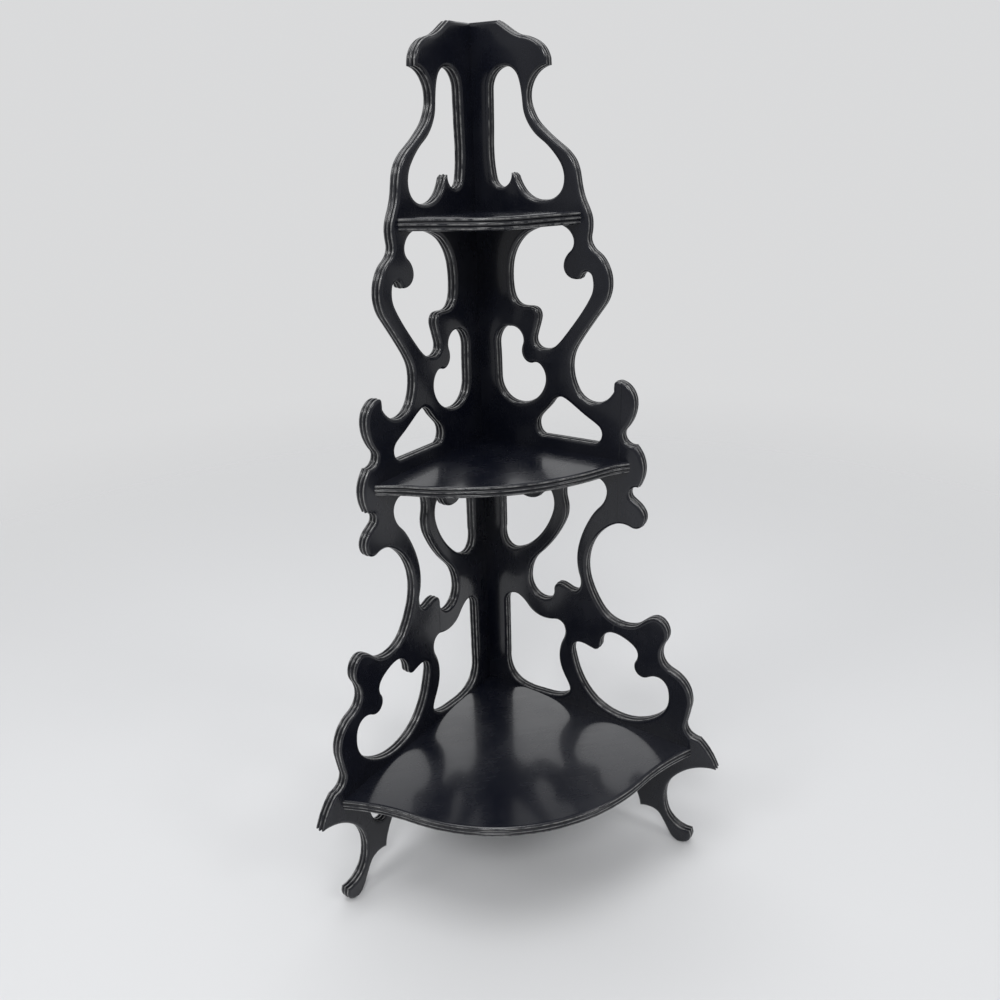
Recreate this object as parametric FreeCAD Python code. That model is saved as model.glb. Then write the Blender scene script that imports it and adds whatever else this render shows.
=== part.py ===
import FreeCAD, Part
import math
import os
from FreeCAD import Vector

# Corner shelf of scroll-sawn fretwork: two pierced side panels that meet at a right
# angle, three bow-fronted shelves between them, and the screws that hold it together.
# Millimetres, +Z up, front towards -Y. The panels meet at the back, in an upright line.

# Driving dimensions of the side panels
PANEL_HEIGHT = 702.0
PANEL_WIDTH = 243.0
PANEL_THICKNESS = 10.0

# The fret pattern is laid out on squares: this many across and up one panel.
ACROSS_SHARE = 24.3
UP_SHARE = 70.2

# Glue lines of the panel boards, in pattern squares from the corner
LEFT_SEAM_SHARE = 7.8
RIGHT_SEAM_SHARE = 13.75
EAR_SPLIT_SHARE = 27.0

# Driving dimensions of the shelves
SHELF_THICKNESS = 9.6
REED_DEPTH = 1.3
REEDS_PER_EDGE = 3
FACETS_PER_REED = 3

# Top faces and reach along the panels follow the solid bands of the pattern, in squares.
TOP_SHELF_UP_SHARE = 56.75
MIDDLE_SHELF_UP_SHARE = 37.25
BOTTOM_SHELF_UP_SHARE = 11.2
TOP_SHELF_REACH_SHARE = 9.9
MIDDLE_SHELF_REACH_SHARE = 14.8
BOTTOM_SHELF_REACH_SHARE = 21.9

# How far each front swells past the straight line between its ends
TOP_SHELF_SWELL = 26.0
MIDDLE_SHELF_SWELL = 24.5
BOTTOM_SHELF_SWELL = 60.5

# Slopes of the front where the bow meets the hollow and where it meets the panel,
# as shares of the slope from the middle of the front to its end
TOP_FRONT_SHARES = (1.35, 0.95)
MIDDLE_FRONT_SHARES = (1.9, 0.35)
BOTTOM_FRONT_SHARES = (1.69, 0.82)

# Wood screws, driven through the panels from behind
SCREW_LENGTH = 28.0
SCREW_SHANK = 3.4
SCREW_HEAD = 6.6
SCREW_HEAD_DEPTH = 2.0
SCREW_TIP = 3.0
SCREW_POINT = 0.3
SCREW_SIDES = 8
SCREW_CLEARANCE = 0.15
SCREW_SINK = 0.4

# Places of the screws along a shelf end, as shares of its reach
TOP_SCREW_SHARES = (0.25, 0.72)
MIDDLE_SCREW_SHARES = (0.2, 0.78)
BOTTOM_SCREW_SHARES = (0.2, 0.8)

# Heights of the screws in the corner joint, in pattern squares
CORNER_SCREW_SHARES = (4.0, 24.0, 49.0, 68.3)

# One overrun for all cuts, and how flat an arc is drawn as a line
OVERRUN = 5.0
STRAIGHT_WITHIN = 0.06

# Pattern tables: points in squares (along the panel from the corner, up from the floor).
# Each row is one stretch between sharp corners and starts where the last one ended.
# Two points make a straight line, and more make arcs that run into each other: the line
# goes through every other point, and the arcs change over close to the points between.
OUTLINE_SHARES = (
    ((0.0, 0.0), (0.0, 70.2)),
    ((0.0, 70.2), (2.45, 70.15)),
    ((2.45, 70.15), (3.3, 69.65), (4.05, 69.2), (4.75, 68.95), (5.5, 68.75), (6.2, 68.3),
     (6.65, 67.7), (6.8, 67.2), (6.8, 66.85)),
    ((6.8, 66.85), (5.35, 66.0), (5.05, 65.2), (5.1, 64.4), (5.4, 63.7), (6.0, 62.9), (7.0, 62.1),
     (8.0, 61.4), (8.85, 60.65), (9.35, 59.9), (9.5, 59.0), (9.65, 58.0), (10.05, 57.3),
     (10.4, 56.65), (10.55, 55.85), (10.45, 55.0), (10.55, 54.4), (11.15, 53.85), (11.8, 53.15),
     (12.25, 52.3), (12.4, 51.4), (11.9, 49.6), (10.15, 47.3), (9.4, 46.2), (9.05, 45.0),
     (9.65, 42.65), (11.1, 41.75), (12.0, 42.0), (13.0, 43.0)),
    ((13.0, 43.0), (13.0, 43.75)),
    ((13.0, 43.75), (13.5, 43.95), (14.1, 43.7), (14.95, 42.35), (14.9, 41.5), (14.1, 39.9),
     (14.0, 39.3), (14.3, 38.85), (15.05, 38.7)),
    ((15.05, 38.7), (15.5, 38.15), (15.95, 36.6), (15.8, 35.8), (15.55, 35.1)),
    ((15.55, 35.1), (14.95, 34.9), (14.75, 34.45), (14.95, 33.95), (15.5, 33.65), (16.0, 33.2),
     (16.25, 32.45), (16.1, 31.75), (15.6, 31.35), (15.0, 31.35), (14.3, 31.5), (13.5, 31.3),
     (12.7, 30.75), (11.9, 29.85), (10.9, 27.3), (11.25, 24.8), (11.8, 23.65), (12.5, 22.6),
     (13.4, 21.95), (14.5, 21.7), (15.5, 21.85), (16.3, 22.25), (16.9, 22.95), (17.45, 23.35),
     (18.1, 23.3), (18.65, 22.85), (18.95, 22.1), (18.8, 21.2), (18.45, 20.35), (18.4, 19.6),
     (18.75, 18.95), (19.5, 18.45), (20.35, 18.05), (21.0, 17.35), (21.4, 16.4), (21.45, 15.3),
     (21.3, 14.3), (21.15, 13.5), (21.3, 12.75), (21.8, 12.35), (22.45, 12.25)),
    ((22.45, 12.25), (23.15, 11.6), (24.3, 9.75)),
    ((24.3, 9.75), (23.4, 9.6), (21.5, 8.45), (20.6, 7.4), (19.65, 5.1), (19.95, 2.9), (21.2, 1.7),
     (21.9, 1.6), (22.35, 1.7)),
    ((22.35, 1.7), (22.45, 0.75), (21.7, 0.0)),
    ((21.7, 0.0), (20.9, 0.0)),
    ((20.9, 0.0), (20.4, 0.35), (20.05, 0.95), (19.35, 2.15), (18.8, 2.5), (18.2, 2.55), (17.2, 2.25)),
    ((17.2, 2.25), (16.8, 3.75), (15.2, 5.9), (13.9, 6.9), (12.2, 7.45), (10.3, 7.2), (8.6, 6.2),
     (6.2, 3.1), (5.2, 0.0)),
    ((5.2, 0.0), (0.0, 0.0)),
)

# Keyhole beside the top of the stem, with the spur that parts its slot from its bulb
CREST_HOLE_SHARES = (
    ((3.45, 59.5), (3.0, 58.6), (2.3, 58.5), (1.7, 59.1), (1.5, 60.3), (1.5, 62.0), (1.5, 64.0),
     (1.52, 65.6), (1.9, 66.55), (2.7, 67.0), (3.6, 66.85), (4.2, 66.2), (4.42, 65.3), (4.5, 64.3),
     (4.8, 63.4), (6.2, 61.85), (7.1, 61.1), (7.8, 60.3), (8.2, 59.4), (8.2, 58.6), (7.75, 57.95),
     (6.9, 57.6), (5.9, 57.55), (5.0, 57.8), (4.4, 58.4), (4.1, 58.85), (3.9, 59.3)),
    ((3.9, 59.3), (3.45, 59.5)),
)

# Scrolled hole below the top shelf
SCROLL_HOLE_SHARES = (
    ((9.85, 51.75), (10.1, 52.1), (10.5, 52.2), (10.8, 51.85), (10.92, 51.3), (10.7, 50.4),
     (10.2, 49.5), (9.55, 48.65), (8.25, 46.9), (7.7, 46.25), (6.95, 45.85), (6.2, 45.75),
     (5.65, 46.05), (5.45, 46.7), (5.7, 47.4), (5.95, 48.2), (5.85, 48.8), (5.4, 49.25), (4.8, 49.2),
     (4.2, 49.15), (3.65, 49.5), (3.25, 50.3), (3.12, 51.3), (3.2, 52.4), (4.15, 54.45), (5.0, 55.1),
     (6.3, 55.5), (7.6, 55.65), (8.55, 55.4), (9.05, 54.85), (9.12, 54.25), (8.85, 53.75),
     (8.4, 53.25), (8.22, 52.6), (8.45, 52.0), (9.0, 51.65), (9.6, 51.6)),
    ((9.6, 51.6), (9.85, 51.75)),
)

# Slot beside the stem above the middle shelf
SLOT_HOLE_SHARES = (
    ((3.1, 47.35), (3.8, 47.25), (4.3, 46.7), (4.35, 45.95), (4.2, 45.3), (4.75, 44.45), (5.5, 44.5)),
    ((5.5, 44.5), (6.1, 44.4), (6.5, 43.7), (6.55, 42.8), (5.5, 41.35), (4.6, 40.95), (3.7, 40.8),
     (2.8, 41.0), (2.1, 41.7), (1.78, 42.8), (1.75, 44.2), (1.75, 45.6), (1.95, 46.7), (2.4, 47.2),
     (3.1, 47.35)),
)

# Three-cornered hole above the middle shelf
LEAF_HOLE_SHARES = (
    ((6.3, 38.25), (11.2, 38.35)),
    ((11.2, 38.35), (11.85, 38.65), (12.0, 39.25), (11.65, 39.9), (11.0, 40.25), (10.1, 40.7),
     (9.2, 41.35), (8.4, 41.85), (7.9, 41.8), (7.3, 41.2), (6.65, 40.55), (6.0, 39.9), (5.75, 39.2),
     (5.85, 38.6), (6.3, 38.25)),
)

# Round-bottomed hole beside the stem with the pendant that hangs into it
PENDANT_HOLE_SHARES = (
    ((1.9, 33.4), (1.9, 28.4)),
    ((1.9, 28.4), (2.05, 27.1), (2.5, 26.5), (3.2, 26.45), (4.2, 26.9), (5.0, 27.6), (6.4, 29.2),
     (7.3, 31.2), (7.4, 32.2), (7.2, 33.0), (6.7, 33.5)),
    ((6.7, 33.5), (6.3, 33.1), (6.05, 32.5), (5.6, 32.1), (4.3, 32.05), (3.75, 32.3), (3.4, 32.9),
     (3.0, 33.7), (2.4, 34.05), (1.95, 33.9), (1.9, 33.4)),
)

# Long waisted hole between the pendant hole and the outer strand
WAIST_HOLE_SHARES = (
    ((11.2, 35.1), (11.9, 35.2), (12.4, 34.8), (12.58, 34.1), (12.4, 33.3), (11.85, 32.6),
     (11.25, 31.7), (10.25, 29.5), (9.95, 28.4), (9.8, 27.3), (9.9, 26.3), (10.1, 25.4),
     (10.25, 24.75), (10.1, 24.1), (9.65, 23.75)),
    ((9.65, 23.75), (9.15, 23.75), (8.6, 24.0), (8.0, 24.15), (7.6, 23.8), (7.45, 23.2),
     (7.35, 22.6), (6.9, 22.1), (6.2, 21.95), (5.45, 22.2), (4.95, 22.8), (4.75, 23.7),
     (4.85, 24.7), (5.8, 26.4), (7.3, 28.25), (8.45, 30.3), (8.68, 31.3), (8.6, 32.4), (8.45, 33.5),
     (8.7, 34.4), (9.4, 34.9), (10.3, 35.0), (11.2, 35.1)),
)

# Tall hole beside the foot of the stem
TALL_HOLE_SHARES = (
    ((2.08, 20.4), (2.08, 14.4)),
    ((2.08, 14.4), (2.15, 13.2), (2.5, 12.2), (3.1, 11.55), (4.0, 11.25), (5.2, 11.25),
     (6.6, 11.3), (7.8, 11.45), (9.2, 12.5)),
    ((9.2, 12.5), (9.25, 13.1), (8.85, 13.8), (8.4, 14.5), (8.05, 16.4), (8.5, 18.3), (8.68, 19.0),
     (8.6, 19.6), (8.2, 20.0), (7.6, 20.05), (6.8, 19.85), (6.0, 19.85), (5.2, 20.15), (4.6, 20.6),
     (4.15, 21.1), (3.6, 21.5), (3.0, 21.55), (2.4, 21.2), (2.08, 20.4)),
)

# Large scrolled hole above the bottom shelf
FOOT_HOLE_SHARES = (
    ((12.6, 19.65), (13.0, 20.3), (13.6, 20.5), (14.4, 20.4), (15.2, 20.15), (15.85, 19.75),
     (16.15, 19.1), (16.0, 18.4), (15.88, 17.7), (16.1, 17.15), (16.7, 16.85), (17.3, 17.0),
     (17.8, 17.3), (18.35, 17.4), (18.85, 17.1), (19.2, 16.4), (19.35, 15.5), (18.7, 13.65),
     (17.9, 12.85), (16.0, 11.85), (14.9, 11.7), (12.5, 12.2), (11.6, 12.9), (10.3, 14.8),
     (9.85, 15.9), (9.65, 17.0), (9.7, 18.0), (10.3, 18.5), (11.0, 18.35), (11.7, 18.15),
     (12.2, 18.3), (12.4, 18.9), (12.6, 19.65)),
)

# Small tear-shaped hole under the end of the bottom shelf
TEAR_HOLE_SHARES = (
    ((18.4, 8.9), (18.75, 8.0), (18.6, 7.15), (18.15, 6.25), (17.65, 5.7), (17.1, 5.55),
     (16.75, 5.9), (16.8, 6.65), (17.9, 8.3)),
    ((17.9, 8.3), (18.4, 8.9)),
)

HOLES = (
    CREST_HOLE_SHARES,
    SCROLL_HOLE_SHARES,
    SLOT_HOLE_SHARES,
    LEAF_HOLE_SHARES,
    PENDANT_HOLE_SHARES,
    WAIST_HOLE_SHARES,
    TALL_HOLE_SHARES,
    FOOT_HOLE_SHARES,
    TEAR_HOLE_SHARES,
)


HALF = math.sqrt(0.5)
LEFT = -1
RIGHT = 1
UP = Vector(0, 0, 1)

# The origin lies on the floor, midway between the front of the bottom shelf and the
# back of the corner, so the corner line stands behind it.
FRONT_REACH = BOTTOM_SHELF_REACH_SHARE * PANEL_WIDTH / ACROSS_SHARE * HALF + BOTTOM_SHELF_SWELL
BACK_REACH = PANEL_THICKNESS / HALF
CORNER = Vector(0, (FRONT_REACH - BACK_REACH) / 2, 0)


def along(side):
    """Direction from the corner out along a panel."""
    return Vector(side * HALF, -HALF, 0)


def outward(side):
    """Direction from the inner face of a panel to its back."""
    return Vector(side * HALF, HALF, 0)


def across(squares):
    """Length along a panel for a number of pattern squares."""
    return squares * PANEL_WIDTH / ACROSS_SHARE


def up(squares):
    """Height for a number of pattern squares."""
    return squares * PANEL_HEIGHT / UP_SHARE


def on_panel(side, reach, height, depth=0.0):
    """Point at a distance along the panel, a height and a depth behind the inner face."""
    return CORNER + along(side) * reach + outward(side) * depth + UP * height


def tangents(points, closed):
    """Direction of the line at each of its points, from the circle through its neighbours."""
    last = len(points) - 1
    found = []
    for index, point in enumerate(points):
        if closed:
            before, after = points[index - 1], points[(index + 1) % len(points)]
        elif 0 < index < last:
            before, after = points[index - 1], points[index + 1]
        else:
            found.append(None)
            continue
        arriving, leaving = point - before, after - point
        turn = arriving * leaving.Length**2 + leaving * arriving.Length**2
        found.append(turn.normalize())
    if not closed:
        found[0] = mirrored(found[1], points[1] - points[0])
        found[last] = mirrored(found[last - 1], points[last] - points[last - 1])
    return found


def mirrored(direction, chord):
    """Direction at the other end of an arc that has this direction at one end of a chord."""
    return chord * (2 * direction.dot(chord) / chord.dot(chord)) - direction


def arc_edge(start, direction, end):
    """Arc that leaves the start in a direction, or a line where the arc is nearly flat."""
    chord = end - start
    side_step = direction - chord * (direction.dot(chord) / chord.dot(chord))
    rise = side_step.Length
    sagitta = math.tan(math.asin(min(rise, 1)) / 2) * chord.Length / 2
    if sagitta < STRAIGHT_WITHIN:
        return Part.LineSegment(start, end).toShape()
    middle = (start + end) * 0.5 + side_step * (sagitta / rise)
    return Part.Arc(start, middle, end).toShape()


def changeover(start, joint, end, guide):
    """Where two arcs meet: the place nearest to the guide on the circle of all such places."""
    chord = end - start
    if chord.cross(joint - start).Length < STRAIGHT_WITHIN * chord.Length:
        return joint
    circle = Part.Circle(start, joint, end)
    return circle.Center + (guide - circle.Center).normalize() * circle.Radius


def arc_pair(start, leaving, end, arriving, guide=None):
    """Two arcs that run into each other between two points with given directions."""
    chord = end - start
    spread = 2 * (1 - leaving.dot(arriving))
    pull = chord.dot(leaving + arriving)
    arm = chord.dot(chord) / (pull + math.sqrt(pull**2 + spread * chord.dot(chord)))
    joint = (start + end + (leaving - arriving) * arm) * 0.5
    if guide:
        joint = changeover(start, joint, end, guide)
    return [arc_edge(start, leaving, joint), arc_edge(end, arriving * -1, joint)]


def stretch_edges(side, squares):
    """One stretch of the pattern as a line, or as arcs that run into each other."""
    points = [on_panel(side, across(u), up(z)) for u, z in squares]
    last = len(points) - 1
    if last == 1:
        return [Part.LineSegment(points[0], points[1]).toShape()]
    if squares[0] == squares[-1]:
        directions = tangents(points[:-1], True)
        directions.append(directions[0])
    else:
        directions = tangents(points, False)
    edges = []
    for start in range(0, last, 2):
        end = min(start + 2, last)
        guide = points[start + 1] if end - start > 1 else None
        edges += arc_pair(points[start], directions[start], points[end], directions[end], guide)
    return edges


def pattern_solid(side, stretches, start, end):
    """Extrude one closed line of the pattern between two depths."""
    edges = []
    for row in stretches:
        edges += stretch_edges(side, row)
    wire = Part.Wire(edges)
    wire.translate(outward(side) * start)
    return Part.Face(wire).extrude(outward(side) * (end - start))


def panel_slab(side, inner, outer, bottom, top):
    """Plain slab through the thickness of a panel between two reaches and two heights."""
    corners = [
        on_panel(side, inner, bottom),
        on_panel(side, outer, bottom),
        on_panel(side, outer, top),
        on_panel(side, inner, top),
    ]
    face = Part.Face(Part.makePolygon(corners + corners[:1]))
    return face.extrude(outward(side) * PANEL_THICKNESS)


def many_sided(profile):
    """Many-sided solid about the Z axis through (radius, height) rings, least height first."""
    rings = []
    for radius, height in profile:
        corners = []
        for corner in range(SCREW_SIDES):
            angle = 2 * math.pi * corner / SCREW_SIDES
            corners.append(Vector(radius * math.cos(angle), radius * math.sin(angle), height))
        rings.append(Part.makePolygon(corners + corners[:1]))
    return Part.makeLoft(rings, True, True)


def screw():
    """Countersunk wood screw with the top of its head at zero, driven along +Z."""
    head = SCREW_HEAD / 2
    shank = SCREW_SHANK / 2
    return many_sided(
        (
            (head, 0),
            (shank, SCREW_HEAD_DEPTH),
            (shank, SCREW_LENGTH - SCREW_TIP),
            (SCREW_POINT, SCREW_LENGTH),
        )
    )


def screw_hole():
    """Countersunk hole that the screw sits in, open through the back of the panel."""
    head = SCREW_HEAD / 2 + SCREW_CLEARANCE
    shank = SCREW_SHANK / 2 + SCREW_CLEARANCE
    return many_sided(
        (
            (head, -SCREW_SINK - OVERRUN),
            (head, 0),
            (shank, SCREW_HEAD_DEPTH),
            (shank, SCREW_LENGTH + SCREW_CLEARANCE),
        )
    )


def driven(shape, side, reach, height):
    """Turn a screw or its hole into place: through a panel from its back, at this point."""
    start = on_panel(side, reach, height, PANEL_THICKNESS - SCREW_SINK)
    shape.Placement = FreeCAD.Placement(start, FreeCAD.Rotation(UP, outward(side) * -1))
    return shape


class Shelf:
    """One shelf: a right-angled corner, a bowed front with a reeded edge, and its screws."""

    def __init__(self, up_share, reach_share, swell, front_shares, screw_shares):
        self.top = up(up_share)
        self.reach = across(reach_share)
        self.screw_height = self.top - SHELF_THICKNESS / 2
        self.screw_reaches = [self.reach * share for share in screw_shares]
        self.half_width = self.reach * HALF
        self.swell = swell
        self.set_front(*front_shares)

    def set_front(self, join_share, end_share):
        """Work out the bow and the hollows of the front as arcs that run into each other."""
        slope = math.atan2(self.swell, self.half_width)
        self.join = slope * join_share
        end = slope * end_share
        rows = (
            (math.sin(self.join), math.sin(self.join) - math.sin(end), self.half_width),
            (1 - math.cos(self.join), math.cos(end) - math.cos(self.join), self.swell),
        )
        (a, b, c), (d, e, f) = rows
        self.bow = (c * e - b * f) / (a * e - b * d)
        self.hollow = (a * f - c * d) / (a * e - b * d)

    def front_wire(self, inset, height):
        """Closed outline of the shelf with its front drawn back by the inset."""
        bow = self.bow - inset
        hollow = self.hollow + inset
        bow_centre = self.bow - self.half_width - self.swell
        stride = self.bow + self.hollow
        hollow_x = stride * math.sin(self.join)
        hollow_y = bow_centre - stride * math.cos(self.join)

        def placed(x, y):
            return CORNER + Vector(x, y, height)

        def on_bow(angle):
            return placed(bow * math.sin(angle), bow_centre - bow * math.cos(angle))

        def on_hollow(hand, angle):
            x = hollow_x - hollow * math.sin(angle)
            return placed(hand * x, hollow_y + hollow * math.cos(angle))

        # The hollow ends where its circle crosses the wall line y = -x.
        offset = (hollow_x + hollow_y) * HALF
        end = math.acos(-offset / hollow) - math.pi / 4
        corner = placed(0, 0)
        middle = (self.join + end) / 2
        return Part.Wire(
            [
                Part.LineSegment(corner, on_hollow(RIGHT, end)).toShape(),
                Part.Arc(
                    on_hollow(RIGHT, end), on_hollow(RIGHT, middle), on_hollow(RIGHT, self.join)
                ).toShape(),
                Part.Arc(on_bow(self.join), on_bow(0), on_bow(-self.join)).toShape(),
                Part.Arc(
                    on_hollow(LEFT, self.join), on_hollow(LEFT, middle), on_hollow(LEFT, end)
                ).toShape(),
                Part.LineSegment(on_hollow(LEFT, end), corner).toShape(),
            ]
        )

    def board(self):
        """Shelf board: the reeds of its front edge are lofted from one outline to the next."""
        bead = SHELF_THICKNESS / REEDS_PER_EDGE
        outlines = []
        for step in range(REEDS_PER_EDGE * FACETS_PER_REED + 1):
            turn = math.pi * (step % FACETS_PER_REED) / FACETS_PER_REED
            inset = REED_DEPTH * (1 - math.sin(turn))
            height = self.top - SHELF_THICKNESS + bead * step / FACETS_PER_REED
            outlines.append(self.front_wire(inset, height))
        return Part.makeLoft(outlines, True, True)

    def fasteners(self, make):
        """Screws, or the holes for them, along both ends of the shelf."""
        return [
            driven(make(), side, reach, self.screw_height)
            for side in (LEFT, RIGHT)
            for reach in self.screw_reaches
        ]


def corner_fasteners(make):
    """Screws, or their holes, through the right panel into the edge of the left one."""
    return [
        driven(make(), RIGHT, -PANEL_THICKNESS / 2, up(height)) for height in CORNER_SCREW_SHARES
    ]


def fret_panel(side, lap, holes):
    """A whole pierced panel; lap is how far it runs on past the corner line."""
    panel = pattern_solid(side, OUTLINE_SHARES, 0, PANEL_THICKNESS)
    if lap > 0:
        panel = panel.fuse(panel_slab(side, -lap, 0, 0, PANEL_HEIGHT)).removeSplitter()
    cutters = [pattern_solid(side, rows, -OVERRUN, PANEL_THICKNESS + OVERRUN) for rows in HOLES]
    return panel.cut(cutters + holes)


def make_parts():
    """All pieces of the corner shelf by name."""
    shelves = {
        "top_shelf": Shelf(
            TOP_SHELF_UP_SHARE,
            TOP_SHELF_REACH_SHARE,
            TOP_SHELF_SWELL,
            TOP_FRONT_SHARES,
            TOP_SCREW_SHARES,
        ),
        "middle_shelf": Shelf(
            MIDDLE_SHELF_UP_SHARE,
            MIDDLE_SHELF_REACH_SHARE,
            MIDDLE_SHELF_SWELL,
            MIDDLE_FRONT_SHARES,
            MIDDLE_SCREW_SHARES,
        ),
        "bottom_shelf": Shelf(
            BOTTOM_SHELF_UP_SHARE,
            BOTTOM_SHELF_REACH_SHARE,
            BOTTOM_SHELF_SWELL,
            BOTTOM_FRONT_SHARES,
            BOTTOM_SCREW_SHARES,
        ),
    }
    holes = corner_fasteners(screw_hole)
    for shelf in shelves.values():
        holes += shelf.fasteners(screw_hole)

    parts = {"corner_screws": Part.makeCompound(corner_fasteners(screw))}
    for name, shelf in shelves.items():
        parts[name] = shelf.board().cut(shelf.fasteners(screw_hole))
        parts[name + "_screws"] = Part.makeCompound(shelf.fasteners(screw))

    # Each panel is glued up from boards that meet at upright seams.
    left = fret_panel(LEFT, 0, holes)
    right = fret_panel(RIGHT, PANEL_THICKNESS, holes)
    left_seam = across(LEFT_SEAM_SHARE)
    right_seam = across(RIGHT_SEAM_SHARE)
    split = up(EAR_SPLIT_SHARE)
    lap = -PANEL_THICKNESS
    parts["left_inner_board"] = left.common(panel_slab(LEFT, 0, left_seam, 0, PANEL_HEIGHT))
    parts["left_outer_board"] = left.common(
        panel_slab(LEFT, left_seam, PANEL_WIDTH, 0, PANEL_HEIGHT)
    )
    parts["right_inner_board"] = right.common(
        panel_slab(RIGHT, lap, right_seam, 0, PANEL_HEIGHT)
    )
    parts["right_ear_board"] = right.common(
        panel_slab(RIGHT, right_seam, PANEL_WIDTH, split, PANEL_HEIGHT)
    )
    parts["right_foot_board"] = right.common(
        panel_slab(RIGHT, right_seam, PANEL_WIDTH, 0, split)
    )
    return parts


def export(parts):
    """Write one STEP file for each named piece and print its size."""
    os.makedirs("parts", exist_ok=True)
    for name, shape in sorted(parts.items()):
        box = shape.BoundBox
        solids = len(shape.Solids)
        print(f"{name}: {solids} solids, {shape.Volume:.0f} mm3, valid {shape.isValid()}")
        print(f"   {box.XLength:.1f} x {box.YLength:.1f} x {box.ZLength:.1f}")
        shape.exportStep(f"parts/{name}.step")


export(make_parts())
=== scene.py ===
"""Looks of the black fretwork corner shelf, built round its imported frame.

Every length is in metres. A panel has its own flat space: u runs from the corner out along
the panel, z runs up, and d is the depth behind its inner face.
"""

from __future__ import annotations

import logging
import math
from dataclasses import dataclass, field
from enum import Enum
from typing import Callable, Iterable, Sequence

import bmesh
import bpy
import numpy as np
from mathutils import Matrix, Vector
from mathutils.geometry import delaunay_2d_cdt


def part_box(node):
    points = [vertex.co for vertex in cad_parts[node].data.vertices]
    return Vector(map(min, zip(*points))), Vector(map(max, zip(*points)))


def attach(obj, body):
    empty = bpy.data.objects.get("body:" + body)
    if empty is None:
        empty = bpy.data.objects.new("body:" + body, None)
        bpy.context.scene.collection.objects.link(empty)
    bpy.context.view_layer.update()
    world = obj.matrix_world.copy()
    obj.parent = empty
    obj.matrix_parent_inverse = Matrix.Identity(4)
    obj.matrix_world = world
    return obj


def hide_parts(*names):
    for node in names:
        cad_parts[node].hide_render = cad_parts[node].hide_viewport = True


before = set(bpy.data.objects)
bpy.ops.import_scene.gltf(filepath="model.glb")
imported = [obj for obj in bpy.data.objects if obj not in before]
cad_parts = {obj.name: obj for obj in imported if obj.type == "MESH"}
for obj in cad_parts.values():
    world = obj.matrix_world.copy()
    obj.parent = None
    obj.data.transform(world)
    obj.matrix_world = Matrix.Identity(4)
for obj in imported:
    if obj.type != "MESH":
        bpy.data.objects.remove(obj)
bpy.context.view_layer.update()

LOG = logging.getLogger("corner_shelf")

MM = 0.001
HALF = math.sqrt(0.5)
# How close counts as the same: for points of the frame, for a line on a plane of the
# shelf, and, finer, for the points and cuts of the new meshes.
SAME_PLACE = 0.02 * MM
NEAR = 4 * SAME_PLACE
WELD = SAME_PLACE / 4
THIN = SAME_PLACE / 8
ON_PLANE = SAME_PLACE / 10
ON_LINE = SAME_PLACE / 20
NOTHING = 1e-12
FULL_TURN = 2 * math.pi
GRAIN_STRETCH = 0.07
BODY = "root"

Span = tuple[float, float]
Point = tuple[float, float, float]
Colour = tuple[float, float, float, float]
Socket = bpy.types.NodeSocket
Value = float | Point | Colour | Socket
Inputs = dict[str | int, Value]
Plain = Callable[[np.ndarray, np.ndarray], bool]


class Side(Enum):
    """The two panels, by the sign of x that they run towards."""

    LEFT = -1
    RIGHT = 1


class Edge(Enum):
    """How a stretch of an outline is finished."""

    REEDED = "reeded"
    PLAIN = "plain"


@dataclass(frozen=True)
class PanelSpace:
    """The flat space of one panel, and the way from it to the frame."""

    side: Side
    corner_y: float

    def flat(self, points: np.ndarray) -> np.ndarray:
        """Turn frame points into (u, z, d).

        Args:
            points: Array of x, y, z rows.

        Returns:
            Array of u, z, d rows.
        """
        across = points[:, 0] * self.side.value
        back = points[:, 1] - self.corner_y
        u, d = (across - back) * HALF, (across + back) * HALF
        return np.stack([u, points[:, 2], d], axis=1)

    def place(self, point: Sequence[float]) -> Vector:
        """Turn one (u, z, d) point into a frame point.

        Args:
            point: The u, z and d of the point.

        Returns:
            The same point in the frame.
        """
        u, z, d = point
        x = self.side.value * (u + d) * HALF
        return Vector((x, self.corner_y + (d - u) * HALF, z))

    def outward(self) -> Vector:
        """The way along the panel from the corner."""
        return self.place((1.0, 0.0, 0.0)) - self.place((0.0, 0.0, 0.0))


@dataclass(frozen=True)
class ShelfSpace:
    """The flat space of one shelf: x and y as they are, and the depth below its top face."""

    top: float

    def flat(self, points: np.ndarray) -> np.ndarray:
        """Turn frame points into (x, y, depth below the top face).

        Args:
            points: Array of x, y, z rows.

        Returns:
            Array of x, y, depth rows.
        """
        return np.stack([points[:, 0], points[:, 1], self.top - points[:, 2]], axis=1)

    def place(self, point: Sequence[float]) -> Vector:
        """Turn one (x, y, depth) point into a frame point.

        Args:
            point: The x, y and depth of the point.

        Returns:
            The same point in the frame.
        """
        x, y, depth = point
        return Vector((x, y, self.top - depth))


Space = PanelSpace | ShelfSpace


@dataclass(frozen=True)
class Ring:
    """One line of the reeding that runs round the whole edge."""

    inset: float
    depth: float
    # Weights of the crown marks (wear and painted highlight) and of the groove marks (painted
    # shade) on this line.
    crown: float
    groove: float


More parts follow.
